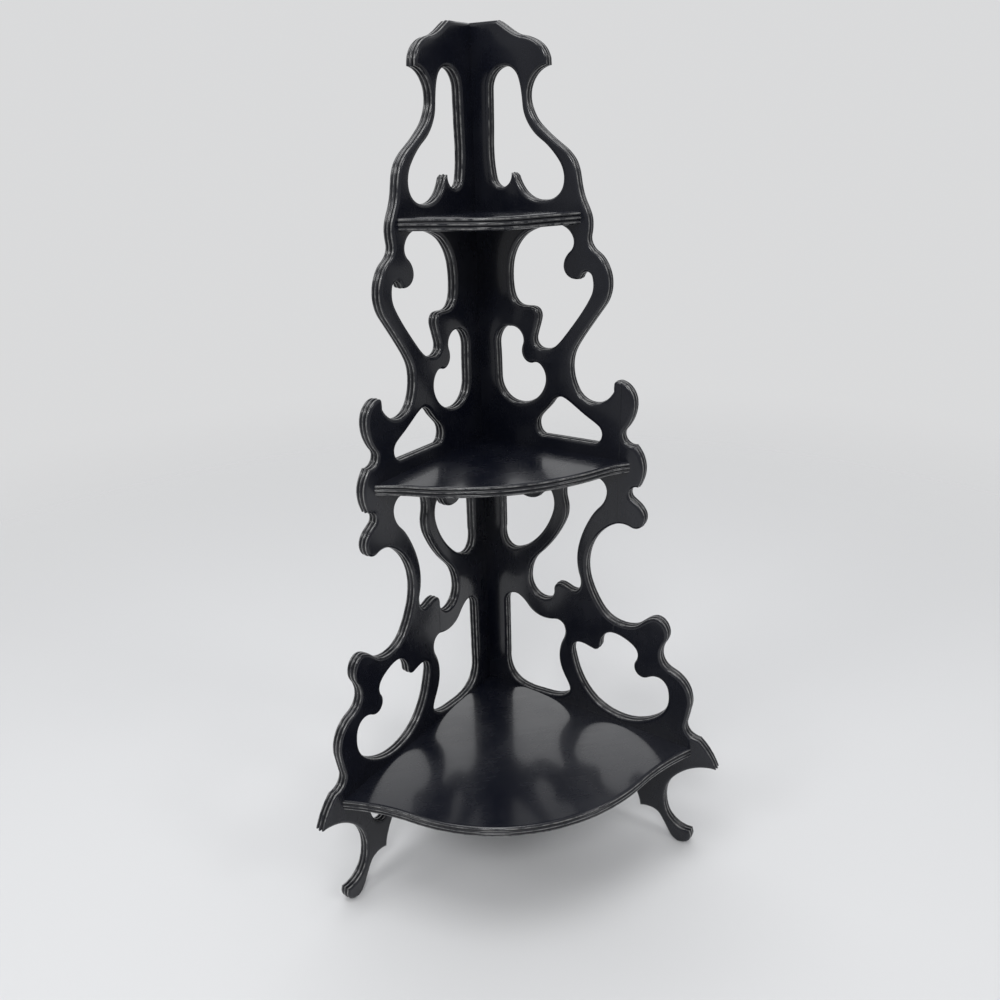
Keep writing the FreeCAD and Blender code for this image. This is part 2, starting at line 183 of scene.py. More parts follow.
@dataclass(frozen=True)
class Reeding:
    """Three beads side by side across an edge, the outer ones rolling over onto the faces."""

    thickness: float
    bead_radius: float = 1.82 * MM
    outer_crown_inset: float = 0.35 * MM
    outer_crown_depth: float = 1.7 * MM
    roll: float = 3.1 * MM
    rim: float = 0.35 * MM
    roll_steps: int = 6
    bead_steps: int = 4

    def innermost(self) -> float:
        """Inset of its innermost line."""
        return self.roll + self.rim

    def crease(self) -> tuple[float, float]:
        """Find the groove between an outer bead and the middle one.

        Returns:
            The inset and the depth of the groove.
        """
        drop = self.outer_crown_inset
        pitch = self.thickness / 2 - self.outer_crown_depth
        apart = math.hypot(drop, pitch)
        rise = math.sqrt(max(self.bead_radius**2 - apart**2 / 4, 0))
        inset = drop / 2 + self.bead_radius - rise * pitch / apart
        depth = self.outer_crown_depth + pitch / 2 - rise * drop / apart
        return inset, depth

    def front_half(self) -> list[Ring]:
        """Lay out the lines from the front face to the middle of the edge.

        Returns:
            The rings in order, the last one on the crown of the middle bead.
        """
        rings = [Ring(self.innermost(), 0.0, 0.0, 0.0)]
        reach = self.roll - self.outer_crown_inset
        for step in range(self.roll_steps + 1):
            turn = math.pi / 2 * (1 - step / self.roll_steps)
            inset = self.outer_crown_inset + reach * (1 - math.cos(turn))
            depth = self.outer_crown_depth * (1 - math.sin(turn))
            rings.append(Ring(inset, depth, math.cos(turn) ** 2, 0.0))
        crease_inset, crease_depth = self.crease()
        outer = math.atan2(
            crease_depth - self.outer_crown_depth,
            self.outer_crown_inset + self.bead_radius - crease_inset,
        )
        for step in range(1, self.bead_steps + 1):
            turn = outer * step / self.bead_steps
            inset = self.outer_crown_inset + self.bead_radius * (1 - math.cos(turn))
            depth = self.outer_crown_depth + self.bead_radius * math.sin(turn)
            share = step / self.bead_steps
            rings.append(Ring(inset, depth, 1 - share, share**2))
        middle = math.atan2(
            self.thickness / 2 - crease_depth, self.bead_radius - crease_inset
        )
        for step in range(1, self.bead_steps + 1):
            turn = middle * (1 - step / self.bead_steps)
            inset = self.bead_radius * (1 - math.cos(turn))
            depth = self.thickness / 2 - self.bead_radius * math.sin(turn)
            share = step / self.bead_steps
            rings.append(Ring(inset, depth, share, (1 - share) ** 2))
        return rings

    def rings(self) -> list[Ring]:
        """Lay out every line from the front face to the back face.

        Returns:
            The rings in order across the edge.
        """
        front = self.front_half()
        back = [
            Ring(ring.inset, self.thickness - ring.depth, ring.crown, ring.groove)
            for ring in reversed(front[:-1])
        ]
        return front + back

    def roll_depth(self, inset: float) -> float:
        """Depth of the rolled bead below the face at an inset from the edge.

        Args:
            inset: Distance from the outline.

        Returns:
            How far the surface lies below the face there.
        """
        reach = self.roll - self.outer_crown_inset
        share = (inset - self.outer_crown_inset) / reach
        if share >= 1:
            return 0.0
        cosine = 1 - max(share, 0.0)
        return self.outer_crown_depth * (1 - math.sqrt(1 - cosine**2))


@dataclass
class Column:
    """One cross-section of the edge: where it stands and which way its lines are set in."""

    point: np.ndarray
    inward: np.ndarray
    limit: float
    corner: bool = False
    stretch: int = 0


@dataclass
class Stretch:
    """A piece of outline between two corners."""

    points: list[np.ndarray]
    edge: Edge
    closed: bool = False


@dataclass
class OutlineReader:
    """Reads the outlines of the boards in the frame and fits smooth lines to them."""

    space: Space
    corner_turn: float = math.radians(22)
    step: float = 1.7 * MM
    straight_step: float = 8 * MM
    straight_ratio: float = 2.4
    straight_least: float = 6 * MM
    tip_width: float = 6 * MM
    ease_reach: float = 1.9 * MM
    ease_shares: tuple[float, ...] = (0.0, 0.25, 0.5, 0.75, 1.0)
    screw_hole_girth: float = 20 * MM
    tip_height: float = 24 * MM

    def face_loops(self, nodes: Iterable[str]) -> list[np.ndarray]:
        """Chain the edges of the faces that lie at depth zero into closed loops.

        Args:
            nodes: Names of the nodes whose faces count as one.

        Returns:
            The loops as arrays of flat points.
        """
        places: list[np.ndarray] = []
        known: dict[tuple[int, int], int] = {}
        edges: set[tuple[int, int]] = set()

        def index(point: np.ndarray) -> int:
            """Number a place, with the same number for points that lie together.

            Args:
                point: A flat point.

            Returns:
                Its number.
            """
            key = (round(point[0] / SAME_PLACE), round(point[1] / SAME_PLACE))
            for du in (0, -1, 1):
                for dz in (0, -1, 1):
                    near = (key[0] + du, key[1] + dz)
                    if near in known:
                        return known[near]
            known[key] = len(places)
            places.append(point[:2])
            return known[key]

        for name in nodes:
            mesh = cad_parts[name].data
            flat = self.space.flat(np.array([v.co for v in mesh.vertices], float))
            for polygon in mesh.polygons:
                corners = flat[list(polygon.vertices)]
                if np.abs(corners[:, 2]).max() > SAME_PLACE:
                    continue
                ids = [index(corner) for corner in corners]
                if len(set(ids)) < len(ids):
                    continue
                for start, end in zip(ids, ids[1:] + ids[:1]):
                    if (end, start) in edges:
                        edges.remove((end, start))
                    else:
                        edges.add((start, end))
        following = dict(edges)
        loops = []
        while following:
            start, place = following.popitem()
            chain = [start]
            while place != start:
                chain.append(place)
                place = following.pop(place)
            loops.append(np.array([places[i] for i in chain]))
        return loops

    def sorted_loops(self, nodes: Iterable[str]) -> tuple[list[np.ndarray], list[np.ndarray]]:
        """Part the outlines from the small round screw holes.

        Args:
            nodes: Names of the nodes whose faces count as one.

        Returns:
            The outlines, the outer one first and all with the wood on their left, and the
            middles of the screw holes.
        """
        outlines, holes = [], []
        for loop in self.face_loops(nodes):
            if girth(loop) < self.screw_hole_girth:
                holes.append(loop.mean(axis=0))
            else:
                outlines.append(loop)
        outlines.sort(key=lambda loop: -abs(area(loop)))
        turned = []
        for order, loop in enumerate(outlines):
            wanted = 1 if order == 0 else -1
            turned.append(loop if area(loop) * wanted > 0 else loop[::-1])
        return turned, holes

    def stretches(self, loop: np.ndarray, plain: Plain) -> list[Stretch]:
        """Cut a loop at its corners.

        Args:
            loop: The points of the loop.
            plain: Says whether the line between two points is left without reeding.

        Returns:
            The stretches in order round the loop.
        """
        count = len(loop)
        turns = []
        for i in range(count):
            arriving = loop[i] - loop[i - 1]
            leaving = loop[(i + 1) % count] - loop[i]
            turns.append(angle_between(arriving, leaving))
        corners = []
        for i in range(count):
            edges = plain(loop[i - 1], loop[i]), plain(loop[i], loop[(i + 1) % count])
            if abs(turns[i]) > self.corner_turn or edges[0] != edges[1]:
                corners.append(i)
        corners = self.without_tips(loop, turns, corners)
        if not corners:
            return [Stretch([*loop, loop[0]], Edge.REEDED, closed=True)]
        found = []
        for start, end in zip(corners, corners[1:] + [corners[0] + count]):
            points = [loop[i % count] for i in range(start, end + 1)]
            edge = Edge.PLAIN if plain(points[0], points[1]) else Edge.REEDED
            found.append(Stretch(points, edge))
        return found

    def without_tips(
        self, loop: np.ndarray, turns: list[float], corners: list[int]
    ) -> list[int]:
        """Leave out the corners of narrow tips, which are worked round.

        Args:
            loop: The points of the loop.
            turns: How far the loop turns at each point.
            corners: Numbers of the points at its corners.

        Returns:
            The corners that stay.
        """
        tips = set()
        for one in corners:
            two = (one + 1) % len(loop)
            narrow = np.linalg.norm(loop[two] - loop[one]) < self.tip_width
            if two in corners and narrow and turns[one] > 0 and turns[two] > 0:
                if max(loop[one][1], loop[two][1]) > self.tip_height:
                    tips |= {one, two}
        return [i for i in corners if i not in tips]

    def ease(self, loop: np.ndarray, place: np.ndarray) -> np.ndarray:
        """Work one corner of an outline round.

        Args:
            loop: The points of the loop.
            place: Where the corner is.

        Returns:
            The loop with a short curve for that corner, if it has one there.
        """
        far = np.linalg.norm(loop - place, axis=1)
        if far.min() > self.tip_width / 2:
            return loop
        loop = np.roll(loop, -int(far.argmin()), axis=0)
        steps = np.linalg.norm(np.roll(loop, -1, axis=0) - loop, axis=1)
        ahead, behind = np.cumsum(steps), np.cumsum(steps[::-1])
        a, b = (int(np.searchsorted(way, self.ease_reach)) for way in (ahead, behind))
        leave = loop[a + 1] + (loop[a] - loop[a + 1]) * (ahead[a] - self.ease_reach) / steps[a]
        over = (behind[b] - self.ease_reach) / steps[-b - 1]
        arrive = loop[-b - 1] + (loop[-b] - loop[-b - 1]) * over
        curve = [
            arrive * (1 - t) ** 2 + loop[0] * 2 * t * (1 - t) + leave * t**2
            for t in self.ease_shares
        ]
        return np.vstack([curve, loop[a + 1 : len(loop) - b]])

    def smooth(self, stretch: Stretch) -> tuple[list[np.ndarray], list[np.ndarray]]:
        """Run a smooth line through the points of a stretch.

        Args:
            stretch: The stretch with the points that its line goes through.

        Returns:
            The points along the line and the directions of the line there.
        """
        points = np.array(stretch.points)
        chords = points[1:] - points[:-1]
        lengths = np.linalg.norm(chords, axis=1)
        straight = self.straight_chords(lengths)
        directions = self.directions(points, chords, lengths, straight, stretch.closed)
        out_points, out_directions = [], []
        for i, chord in enumerate(chords):
            step = self.straight_step if straight[i] else self.step
            parts = max(1, round(lengths[i] / step))
            for part in range(parts):
                share = part / parts
                place, heading = hermite(
                    points[i], directions[i], points[i + 1], directions[i + 1], share
                )
                out_points.append(place)
                out_directions.append(heading)
        out_points.append(points[-1])
        out_directions.append(directions[-1])
        return out_points, out_directions

    def straight_chords(self, lengths: np.ndarray) -> list[bool]:
        """Find the chords that are straight lines of the pattern and not parts of a curve.

        Args:
            lengths: Length of each chord of a stretch.

        Returns:
            Whether each chord is straight.
        """
        found = []
        for i, length in enumerate(lengths):
            near = [lengths[j] for j in (i - 1, i + 1) if 0 <= j < len(lengths)]
            longer = not near or length > self.straight_ratio * min(near)
            found.append(bool(length > self.straight_least and longer))
        return found

    def directions(
        self,
        points: np.ndarray,
        chords: np.ndarray,
        lengths: np.ndarray,
        straight: list[bool],
        closed: bool,
    ) -> list[np.ndarray]:
        """Direction of the line at each point of a stretch.

        Args:
            points: The points of the stretch.
            chords: The steps from each point to the next.
            lengths: Their lengths.
            straight: Which of them are straight lines.
            closed: Whether the stretch runs back into itself.

        Returns:
            Unit directions, one for each point.
        """
        last = len(points) - 1
        found: list[np.ndarray | None] = []
        for i in range(last + 1):
            before = i - 1 if i > 0 else (last - 1 if closed else None)
            after = i if i < last else (0 if closed else None)
            if before is not None and straight[before]:
                found.append(chords[before] / lengths[before])
            elif after is not None and straight[after]:
                found.append(chords[after] / lengths[after])
            elif before is None or after is None:
                found.append(None)
            else:
                turn = (
                    chords[before] * lengths[after] ** 2
                    + chords[after] * lengths[before] ** 2
                )
                found.append(turn / np.linalg.norm(turn))
        if found[0] is None:
            found[0] = self.end_direction(found[1] if last > 1 else None, chords[0])
        if found[last] is None:
            found[last] = self.end_direction(found[last - 1] if last > 1 else None, chords[-1])
        return found

    def end_direction(self, beside: np.ndarray | None, chord: np.ndarray) -> np.ndarray:
        """Direction at a loose end, as on an arc that has the next point's direction.

        Args:
            beside: Direction at the point beside the end, if there is one.
            chord: The step between the two.

        Returns:
            Unit direction at the end.
        """
        if beside is None:
            return chord / np.linalg.norm(chord)
        return chord * (2 * (beside @ chord) / (chord @ chord)) - beside


def girth(loop: np.ndarray) -> float:
    """Length of a closed loop."""
    return float(np.linalg.norm(loop - np.roll(loop, 1, axis=0), axis=1).sum())


def area(loop: np.ndarray) -> float:
    """Area inside a loop, above zero where it runs anticlockwise."""
    following = np.roll(loop, -1, axis=0)
    return float((loop[:, 0] * following[:, 1] - loop[:, 1] * following[:, 0]).sum() / 2)


def cross(a: np.ndarray, b: np.ndarray) -> float:
    """Signed area between two flat vectors."""
    return float(a[0] * b[1] - a[1] * b[0])


def angle_between(a: np.ndarray, b: np.ndarray) -> float:
    """Signed angle from one flat vector to another."""
    return math.atan2(cross(a, b), float(a @ b))


def left_of(direction: np.ndarray) -> np.ndarray:
    """The flat direction a quarter turn to the left."""
    return np.array([-direction[1], direction[0]])


def hermite(
    start: np.ndarray,
    leaving: np.ndarray,
    end: np.ndarray,
    arriving: np.ndarray,
    share: float,
) -> tuple[np.ndarray, np.ndarray]:
    """A point of the smooth line between two points with given directions.

    Args:
        start: First point.
        leaving: Unit direction there.
        end: Last point.
        arriving: Unit direction there.
        share: How far along the line the wanted point lies, from 0 to 1.

    Returns:
        The point and the unit direction of the line there.
    """
    pull = np.linalg.norm(end - start)
    t, t2, t3 = share, share**2, share**3
    place = (
        start * (2 * t3 - 3 * t2 + 1)
        + leaving * pull * (t3 - 2 * t2 + t)
        + end * (3 * t2 - 2 * t3)
        + arriving * pull * (t3 - t2)
    )
    heading = (
        start * (6 * t2 - 6 * t)
        + leaving * pull * (3 * t2 - 4 * t + 1)
        + end * (6 * t - 6 * t2)
        + arriving * pull * (3 * t2 - 2 * t)
    )
    return place, heading / np.linalg.norm(heading)


def square_columns(
    points: list[np.ndarray], directions: list[np.ndarray], number: int
) -> list[Column]:
    """Make cross-sections square to a line.

    Args:
        points: Points of the line.
        directions: Unit directions of the line there.
        number: Number of the stretch that they lie on.

    Returns:
        One cross-section for each point.
    """
    return [Column(p, left_of(d), math.inf, stretch=number) for p, d in zip(points, directions)]


@dataclass
class RoundHole:
    """A screw hole through a board: its middle and the radius at each depth, front first."""

    middle: np.ndarray
    radii: list[tuple[float, float]]
    sides: int = 28

    def ring(self, radius: float) -> np.ndarray:
        """Points round the hole at one radius, with the wood on their left."""
        turns = -FULL_TURN * np.arange(self.sides) / self.sides
        return self.middle + radius * np.stack([np.cos(turns), np.sin(turns)], axis=1)


@dataclass
class ReededBoard:
    """A flat board with any outline whose edges are worked into reeds."""

    space: Space
    reeding: Reeding
    outset: float = 0.0
    plain_share: float = 0.45
    least_slope: float = 0.3
    near_upright: float = 1e-6
    limit_share: float = 0.97
    mitre_reach: float = 4.0
    mitre_slack: float = 0.05
    draw_back: float = 0.9
    draw_back_rounds: int = 24
    hole_margin: float = 0.2 * MM
    loops: list[list[Column]] = field(default_factory=list)
    holes: list[RoundHole] = field(default_factory=list)

    def add_loop(self, reader: OutlineReader, loop: np.ndarray, plain: Plain) -> None:
        """Add one outline, cut into cross-sections.

        Args:
            reader: Fits the smooth line.
            loop: The points of the outline, with the wood on their left.
            plain: Says whether the line between two points is left without reeding.
        """
        stretches = reader.stretches(loop, plain)
        smooth = [reader.smooth(stretch) for stretch in stretches]
        columns: list[Column] = []
        for i, stretch in enumerate(stretches):
            points, directions = smooth[i]
            if stretch.closed:
                columns += square_columns(points[:-1], directions[:-1], i)
                continue
            before, (_, before_directions) = stretches[i - 1], smooth[i - 1]
            arriving, leaving = before_directions[-1], directions[0]
            columns.append(
                self.corner_column(points[0], before, arriving, stretch, leaving, i)
            )
            if stretch.edge is Edge.REEDED:
                columns += square_columns(points[1:-1], directions[1:-1], i)
        self.loops.append(columns)

    def corner_column(
        self,
        point: np.ndarray,
        before: Stretch,
        arriving: np.ndarray,
        after: Stretch,
        leaving: np.ndarray,
        number: int,
    ) -> Column:
        """Make the cross-section at a corner.

        Args:
            point: The corner.
            before: The stretch that ends there.
            arriving: Its direction there.
            after: The stretch that starts there.
            leaving: Its direction there.
            number: Number of the stretch that starts there.

        Returns:
            A cross-section along the mitre, or along the plain edge where there is one.
        """
        if before.edge is Edge.PLAIN and after.edge is Edge.PLAIN:
            return Column(point, left_of(leaving), 0.0, True, number)
        if before.edge is Edge.PLAIN or after.edge is Edge.PLAIN:
            if before.edge is Edge.PLAIN:
                slide, normal, stretch = -arriving, left_of(leaving), before
            else:
                slide, normal, stretch = leaving, left_of(arriving), after
            steep = max(float(slide @ normal), self.least_slope)
            length = float(np.linalg.norm(stretch.points[-1] - stretch.points[0]))
            limit = self.plain_share * length * steep
            return Column(point, slide / steep, limit, True, number)
        normal = left_of(arriving) + left_of(leaving)
        normal /= np.linalg.norm(normal)
        scale = 1 / max(float(normal @ left_of(leaving)), self.least_slope)
        return Column(point, normal * scale, math.inf, True, number)

    def set_limits(self) -> None:
        """Keep every cross-section on its own side of the middle line of the wood."""
        everything = [column for loop in self.loops for column in loop]
        points = np.array([column.point for column in everything])
        numbers = np.array(
            [(i, column.stretch) for i, loop in enumerate(self.loops) for column in loop]
        )
        for index, column in enumerate(everything):
            if column.limit == 0:
                continue
            step = points - column.point
            reach = np.linalg.norm(step, axis=1)
            scale = float(column.inward @ column.inward)
            facing = step @ column.inward
            same = (numbers == numbers[index]).all(axis=1)
            if column.corner:
                count = numbers[numbers[:, 0] == numbers[index][0]][:, 1].max() + 1
                previous = (numbers[index][1] - 1) % count
                same |= (numbers[:, 0] == numbers[index][0]) & (numbers[:, 1] == previous)
                usable = (facing > 0) & ~same
            else:
                usable = (facing > 0) & (reach > SAME_PLACE)
            if not usable.any():
                continue
            # The inset x at which the other point is as near as this outline is:
            # scale * x**2 - 2 * b * x + c = x**2.
            a, b, c = scale - 1, facing[usable], reach[usable] ** 2
            if a < self.near_upright:
                limits = c / (2 * b)
            else:
                inside = b**2 - a * c
                limits = np.where(inside > 0, (b - np.sqrt(np.abs(inside))) / a, math.inf)
            column.limit = min(column.limit, float(limits.min()) * self.limit_share)

    def thin_corners(self) -> None:
        """Leave out the cross-sections whose lines would cross a mitre."""
        deepest = self.reeding.innermost()
        for number, loop in enumerate(self.loops):
            corners = [column for column in loop if column.corner]
            kept = []
            for column in loop:
                if column.corner or self.clear_of(column, corners, deepest):
                    kept.append(column)
            self.loops[number] = kept

    def clear_of(self, column: Column, corners: list[Column], deepest: float) -> bool:
        """Whether a cross-section stays clear of the mitres near it.

        Args:
            column: The cross-section.
            corners: The cross-sections at the corners of its loop.
            deepest: The largest inset of the reeding.

        Returns:
            True where none of its lines crosses a mitre line.
        """
        reach = column.inward * min(deepest, column.limit)
        for corner in corners:
            mitre = corner.inward * min(deepest, corner.limit)
            apart = corner.point - column.point
            if np.linalg.norm(apart) > deepest * self.mitre_reach:
                continue
            turn = cross(reach, mitre)
            if abs(turn) < NOTHING:
                continue
            along = cross(apart, mitre) / turn
            beside = cross(apart, reach) / turn
            low, high = -self.mitre_slack, 1 + self.mitre_slack
            if low < along < high and low < beside < high:
                return False
        return True

    def uncross(self) -> None:
        """Draw the innermost lines back where two of them, or one and a screw hole, cross."""
        deepest = self.reeding.innermost()
        fixed = [hole.ring(hole.radii[-1][1] + self.hole_margin) for hole in self.holes]
        columns = [column for loop in self.loops for column in loop]
        following, first = [], 0
        for loop in [*self.loops, *fixed]:
            following += [first + (i + 1) % len(loop) for i in range(len(loop))]
            first += len(loop)
        for _ in range(self.draw_back_rounds):
            inner = [c.point + c.inward * min(deepest, c.limit) for c in columns]
            starts = np.vstack([inner, *fixed])
            ends = starts[following]
            steps = (ends - starts)[:, None]
            sides = [
                steps[..., 0] * (spots[:, 1] - starts[:, None, 1])
                - steps[..., 1] * (spots[:, 0] - starts[:, None, 0])
                for spots in (starts, ends)
            ]
            # Two lines cross where each has the ends of the other on either side of it.
            apart = sides[0] * sides[1] < 0
            crossing = np.flatnonzero((apart & apart.T).any(axis=1))
            touched = {i for start in crossing for i in (int(start), following[start])}
            if not touched:
                return
            for i in sorted(touched):
                if i < len(columns):
                    columns[i].limit = min(deepest, columns[i].limit) * self.draw_back

    def ring_point(self, column: Column, ring: Ring) -> Point:
        """Where a line of the reeding crosses a cross-section.

        Args:
            column: The cross-section.
            ring: The line.

        Returns:
            Flat coordinates of the point.
        """
        inset, depth = ring.inset, ring.depth
        if inset > column.limit:
            inset = column.limit
            roll = self.reeding.roll_depth(inset)
            if depth < self.reeding.outer_crown_depth:
                depth = max(depth, roll)
            elif depth > self.reeding.thickness - self.reeding.outer_crown_depth:
                depth = min(depth, self.reeding.thickness - roll)
        outset = self.outset if column.limit > 0 else 0.0
        flat = column.point + column.inward * (inset - outset)
        return float(flat[0]), float(flat[1]), depth

    def build(self) -> bmesh.types.BMesh:
        """Make the whole board as one closed mesh.

        Returns:
            The mesh, with its reeds marked in its layers.
        """
        self.set_limits()
        self.thin_corners()
        self.uncross()
        bm = bmesh.new()
        crown = bm.verts.layers.float.new("crown")
        groove = bm.verts.layers.float.new("groove")
        flat_place = bm.verts.layers.float_vector.new("board")
        rings = self.reeding.rings()
        front: list[list[bmesh.types.BMVert]] = []
        back: list[list[bmesh.types.BMVert]] = []

        def corner(point: Point, ring: Ring | None) -> bmesh.types.BMVert:
            """Add one point of the mesh with its marks.

            Args:
                point: Flat coordinates of the point.
                ring: The line of the reeding that it lies on, if it lies on one.

            Returns:
                The new point.
            """
            vert = bm.verts.new(self.space.place(point))
            vert[crown] = ring.crown if ring else 0.0
            vert[groove] = ring.groove if ring else 0.0
            vert[flat_place] = Vector(point)
            return vert

        for loop in self.loops:
            lines = [[corner(self.ring_point(c, ring), ring) for c in loop] for ring in rings]
            self.skin(bm, lines)
            front.append(lines[0])
            back.append(lines[-1])
        for hole in self.holes:
            lines = [
                [corner((x, y, depth), None) for x, y in hole.ring(radius)]
                for depth, radius in hole.radii
            ]
            self.skin(bm, lines)
            front.append(lines[0])
            back.append(lines[-1])
        self.cap(bm, front)
        self.cap(bm, back)
        bmesh.ops.remove_doubles(bm, verts=bm.verts, dist=WELD)
        bmesh.ops.dissolve_degenerate(bm, edges=bm.edges, dist=THIN)
        bmesh.ops.recalc_face_normals(bm, faces=bm.faces)
        return bm

    def skin(self, bm: bmesh.types.BMesh, lines: list[list[bmesh.types.BMVert]]) -> None:
        """Join lines that run side by side with faces.

        Args:
            bm: The mesh.
            lines: The closed lines, in order across the edge.
        """
        for one, two in zip(lines, lines[1:]):
            count = len(one)
            for i in range(count):
                j = (i + 1) % count
                bm.faces.new((one[i], one[j], two[j], two[i]))

    def cap(self, bm: bmesh.types.BMesh, lines: list[list[bmesh.types.BMVert]]) -> None:
        """Fill the face of the board between its lines.

        Args:
            bm: The mesh.
            lines: The closed lines that bound the face.
        """
        verts = [vert for line in lines for vert in line]
        layer = bm.verts.layers.float_vector["board"]
        flat = [Vector(vert[layer][:2]) for vert in verts]
        edges, start = [], 0
        for line in lines:
            count = len(line)
            edges += [(start + i, start + (i + 1) % count) for i in range(count)]
            start += count
        _, _, faces, originals, _, _ = delaunay_2d_cdt(flat, edges, [], 0, ON_PLANE)
        trios = [[originals[i][0] for i in face if originals[i]] for face in faces]
        centres = np.array([np.mean([flat[i] for i in ids], axis=0) for ids in trios])
        inside = inside_edges(centres, np.array(flat), edges)
        for face, ids, keep in zip(faces, trios, inside):
            if keep and len(set(ids)) == len(face):
                trio = [verts[i] for i in ids]
                if bm.faces.get(trio) is None:
                    bm.faces.new(trio)


def inside_edges(
    places: np.ndarray, points: np.ndarray, edges: list[tuple[int, int]]
) -> np.ndarray:
    """Tell which places lie inside a set of closed lines.

    Args:
        places: The places to test.
        points: The points of the lines.
        edges: Pairs of numbers of points that follow each other.

    Returns:
        True for each place with an odd number of lines to its right.
    """
    starts = points[[a for a, _ in edges]]
    ends = points[[b for _, b in edges]]
    inside = np.zeros(len(places), bool)
    for index, (x, y) in enumerate(places):
        spans = (starts[:, 1] > y) != (ends[:, 1] > y)
        low, high = starts[spans], ends[spans]
        at = low[:, 0] + (y - low[:, 1]) * (high[:, 0] - low[:, 0]) / (high[:, 1] - low[:, 1])
        inside[index] = (at > x).sum() % 2 == 1
    return inside


def as_object(bm: bmesh.types.BMesh, name: str) -> bpy.types.Object:
    """Turn a mesh under work into an object.

    Args:
        bm: The mesh, which is freed.
        name: Name of the object.

    Returns:
        The new object, linked to the scene.
    """
    mesh = bpy.data.meshes.new(name)
    bm.to_mesh(mesh)
    bm.free()
    piece = bpy.data.objects.new(name, mesh)
    bpy.context.scene.collection.objects.link(piece)
    return piece


def finish_mesh(
    bm: bmesh.types.BMesh, name: str, material: bpy.types.Material, sharp: float
) -> bpy.types.Object:
    """Turn a mesh under work into a shaded piece.

    Args:
        bm: The mesh, which is freed.
        name: Name of the piece.
        material: Its finish.
        sharp: Angle above which an edge is shaded as sharp.

    Returns:
        The new piece, linked to the scene.
    """
    for face in bm.faces:
        face.smooth = True
    for edge in bm.edges:
        flat = len(edge.link_faces) == 2 and edge.calc_face_angle() < sharp
        edge.smooth = flat and not edge.seam
    piece = as_object(bm, name)
    piece.data.materials.append(material)
    return piece


@dataclass(frozen=True)
class Noise:
    """Settings of a cloudy pattern."""

    scale: float
    detail: float
    roughness: float


@dataclass
class NodeBuilder:
    """Adds shader nodes to a material or a world with short calls.

    The mix node has its numbers at inputs 2 and 3 and its colours at inputs 6 and 7.
    """

    owner: bpy.types.Material | bpy.types.World

    def fill(self, node: bpy.types.Node, values: Inputs) -> None:
        """Set the inputs of a node.

        Args:
            node: The node.
            values: Numbers, colours or sockets to link, by name or place of the input.
        """
        for key, value in values.items():
            socket = node.inputs[key]
            if isinstance(value, bpy.types.NodeSocket):
                self.owner.node_tree.links.new(value, socket)
            else:
                socket.default_value = value

    def add(self, kind: str, values: Inputs | None = None, **settings: str) -> bpy.types.Node:
        """Add a node.

        Args:
            kind: Type name of the node.
            values: Numbers, colours or sockets for its inputs, by name or place.
            **settings: Properties of the node.

        Returns:
            The node.
        """
        node = self.owner.node_tree.nodes.new(kind)
        for key, value in settings.items():
            setattr(node, key, value)
        self.fill(node, values or {})
        return node

    def attribute(self, name: str, output: str) -> Socket:
        """Something that the mesh carries, by its name and the name of the output."""
        return self.add("ShaderNodeAttribute", attribute_name=name).outputs[output]

    def noise(self, place: Socket, noise: Noise) -> Socket:
        """Add a cloudy pattern.

        Args:
            place: Where a point of the surface lies in the pattern.
            noise: Its settings.

        Returns:
            The output socket, from 0 to 1.
        """
        values = {
            "Vector": place,
            "Scale": noise.scale,
            "Detail": noise.detail,
            "Roughness": noise.roughness,
        }
        return self.add("ShaderNodeTexNoise", values).outputs["Fac"]

    def mix(self, share: Value, one: Value, two: Value) -> Socket:
        """Blend two numbers by a share.

        Args:
            share: Socket or number from 0 to 1.
            one: Number or socket at share 0.
            two: Number or socket at share 1.

        Returns:
            The output socket.
        """
        node = self.add("ShaderNodeMix", {0: share, 2: one, 3: two}, data_type="FLOAT")
        return node.outputs[0]

    def mix_colour(self, share: Value, one: Value, two: Value) -> Socket:
        """Blend two colours by a share.

        Args:
            share: Socket or number from 0 to 1.
            one: Colour or socket at share 0.
            two: Colour or socket at share 1.

        Returns:
            The output socket.
        """
        node = self.add("ShaderNodeMix", {0: share, 6: one, 7: two}, data_type="RGBA")
        return node.outputs[2]

    def ramp(self, value: Socket, span: Span, shape: str = "LINEAR") -> Socket:
        """Spread a number from a range to 0 and 1.

        Args:
            value: Socket of the number.
            span: The numbers that become 0 and 1.
            shape: How it runs between them.

        Returns:
            The output socket.
        """
        values = {0: value, 1: span[0], 2: span[1]}
        node = self.add("ShaderNodeMapRange", values, interpolation_type=shape)
        return node.outputs[0]

    def times(self, one: Value, two: Value) -> Socket:
        """Multiply two numbers."""
        return self.add("ShaderNodeMath", {0: one, 1: two}, operation="MULTIPLY").outputs[0]

    def plus(self, one: Value, two: Value) -> Socket:
        """Add two numbers."""
        return self.add("ShaderNodeMath", {0: one, 1: two}, operation="ADD").outputs[0]

    def relief(self, height: Socket, strength: float, depth: float) -> Socket:
        """Add fine unevenness of the surface.

        Args:
            height: Socket of the height, from 0 to 1.
            strength: How much of it shows.
            depth: How deep it is.

        Returns:
            The output socket, for the normal.
        """
        values = {"Height": height, "Strength": strength, "Distance": depth}
        return self.add("ShaderNodeBump", values).outputs[0]


def start_material(name: str) -> tuple[NodeBuilder, bpy.types.Node]:
    """Start a material with the usual surface shader.

    Args:
        name: Name of the material.

    Returns:
        A builder for its nodes, and the shader.
    """
    material = bpy.data.materials.new(name)
    material.use_nodes = True
    return NodeBuilder(material), material.node_tree.nodes["Principled BSDF"]


@dataclass(frozen=True)
class LacquerMarks:
    """The patterns that the colour and the roughness of the lacquer share."""

    place: Socket
    pores: Socket
    strokes: Socket
    worn: Socket
    crown_wear_and_highlight_mask: Socket
    groove: Socket


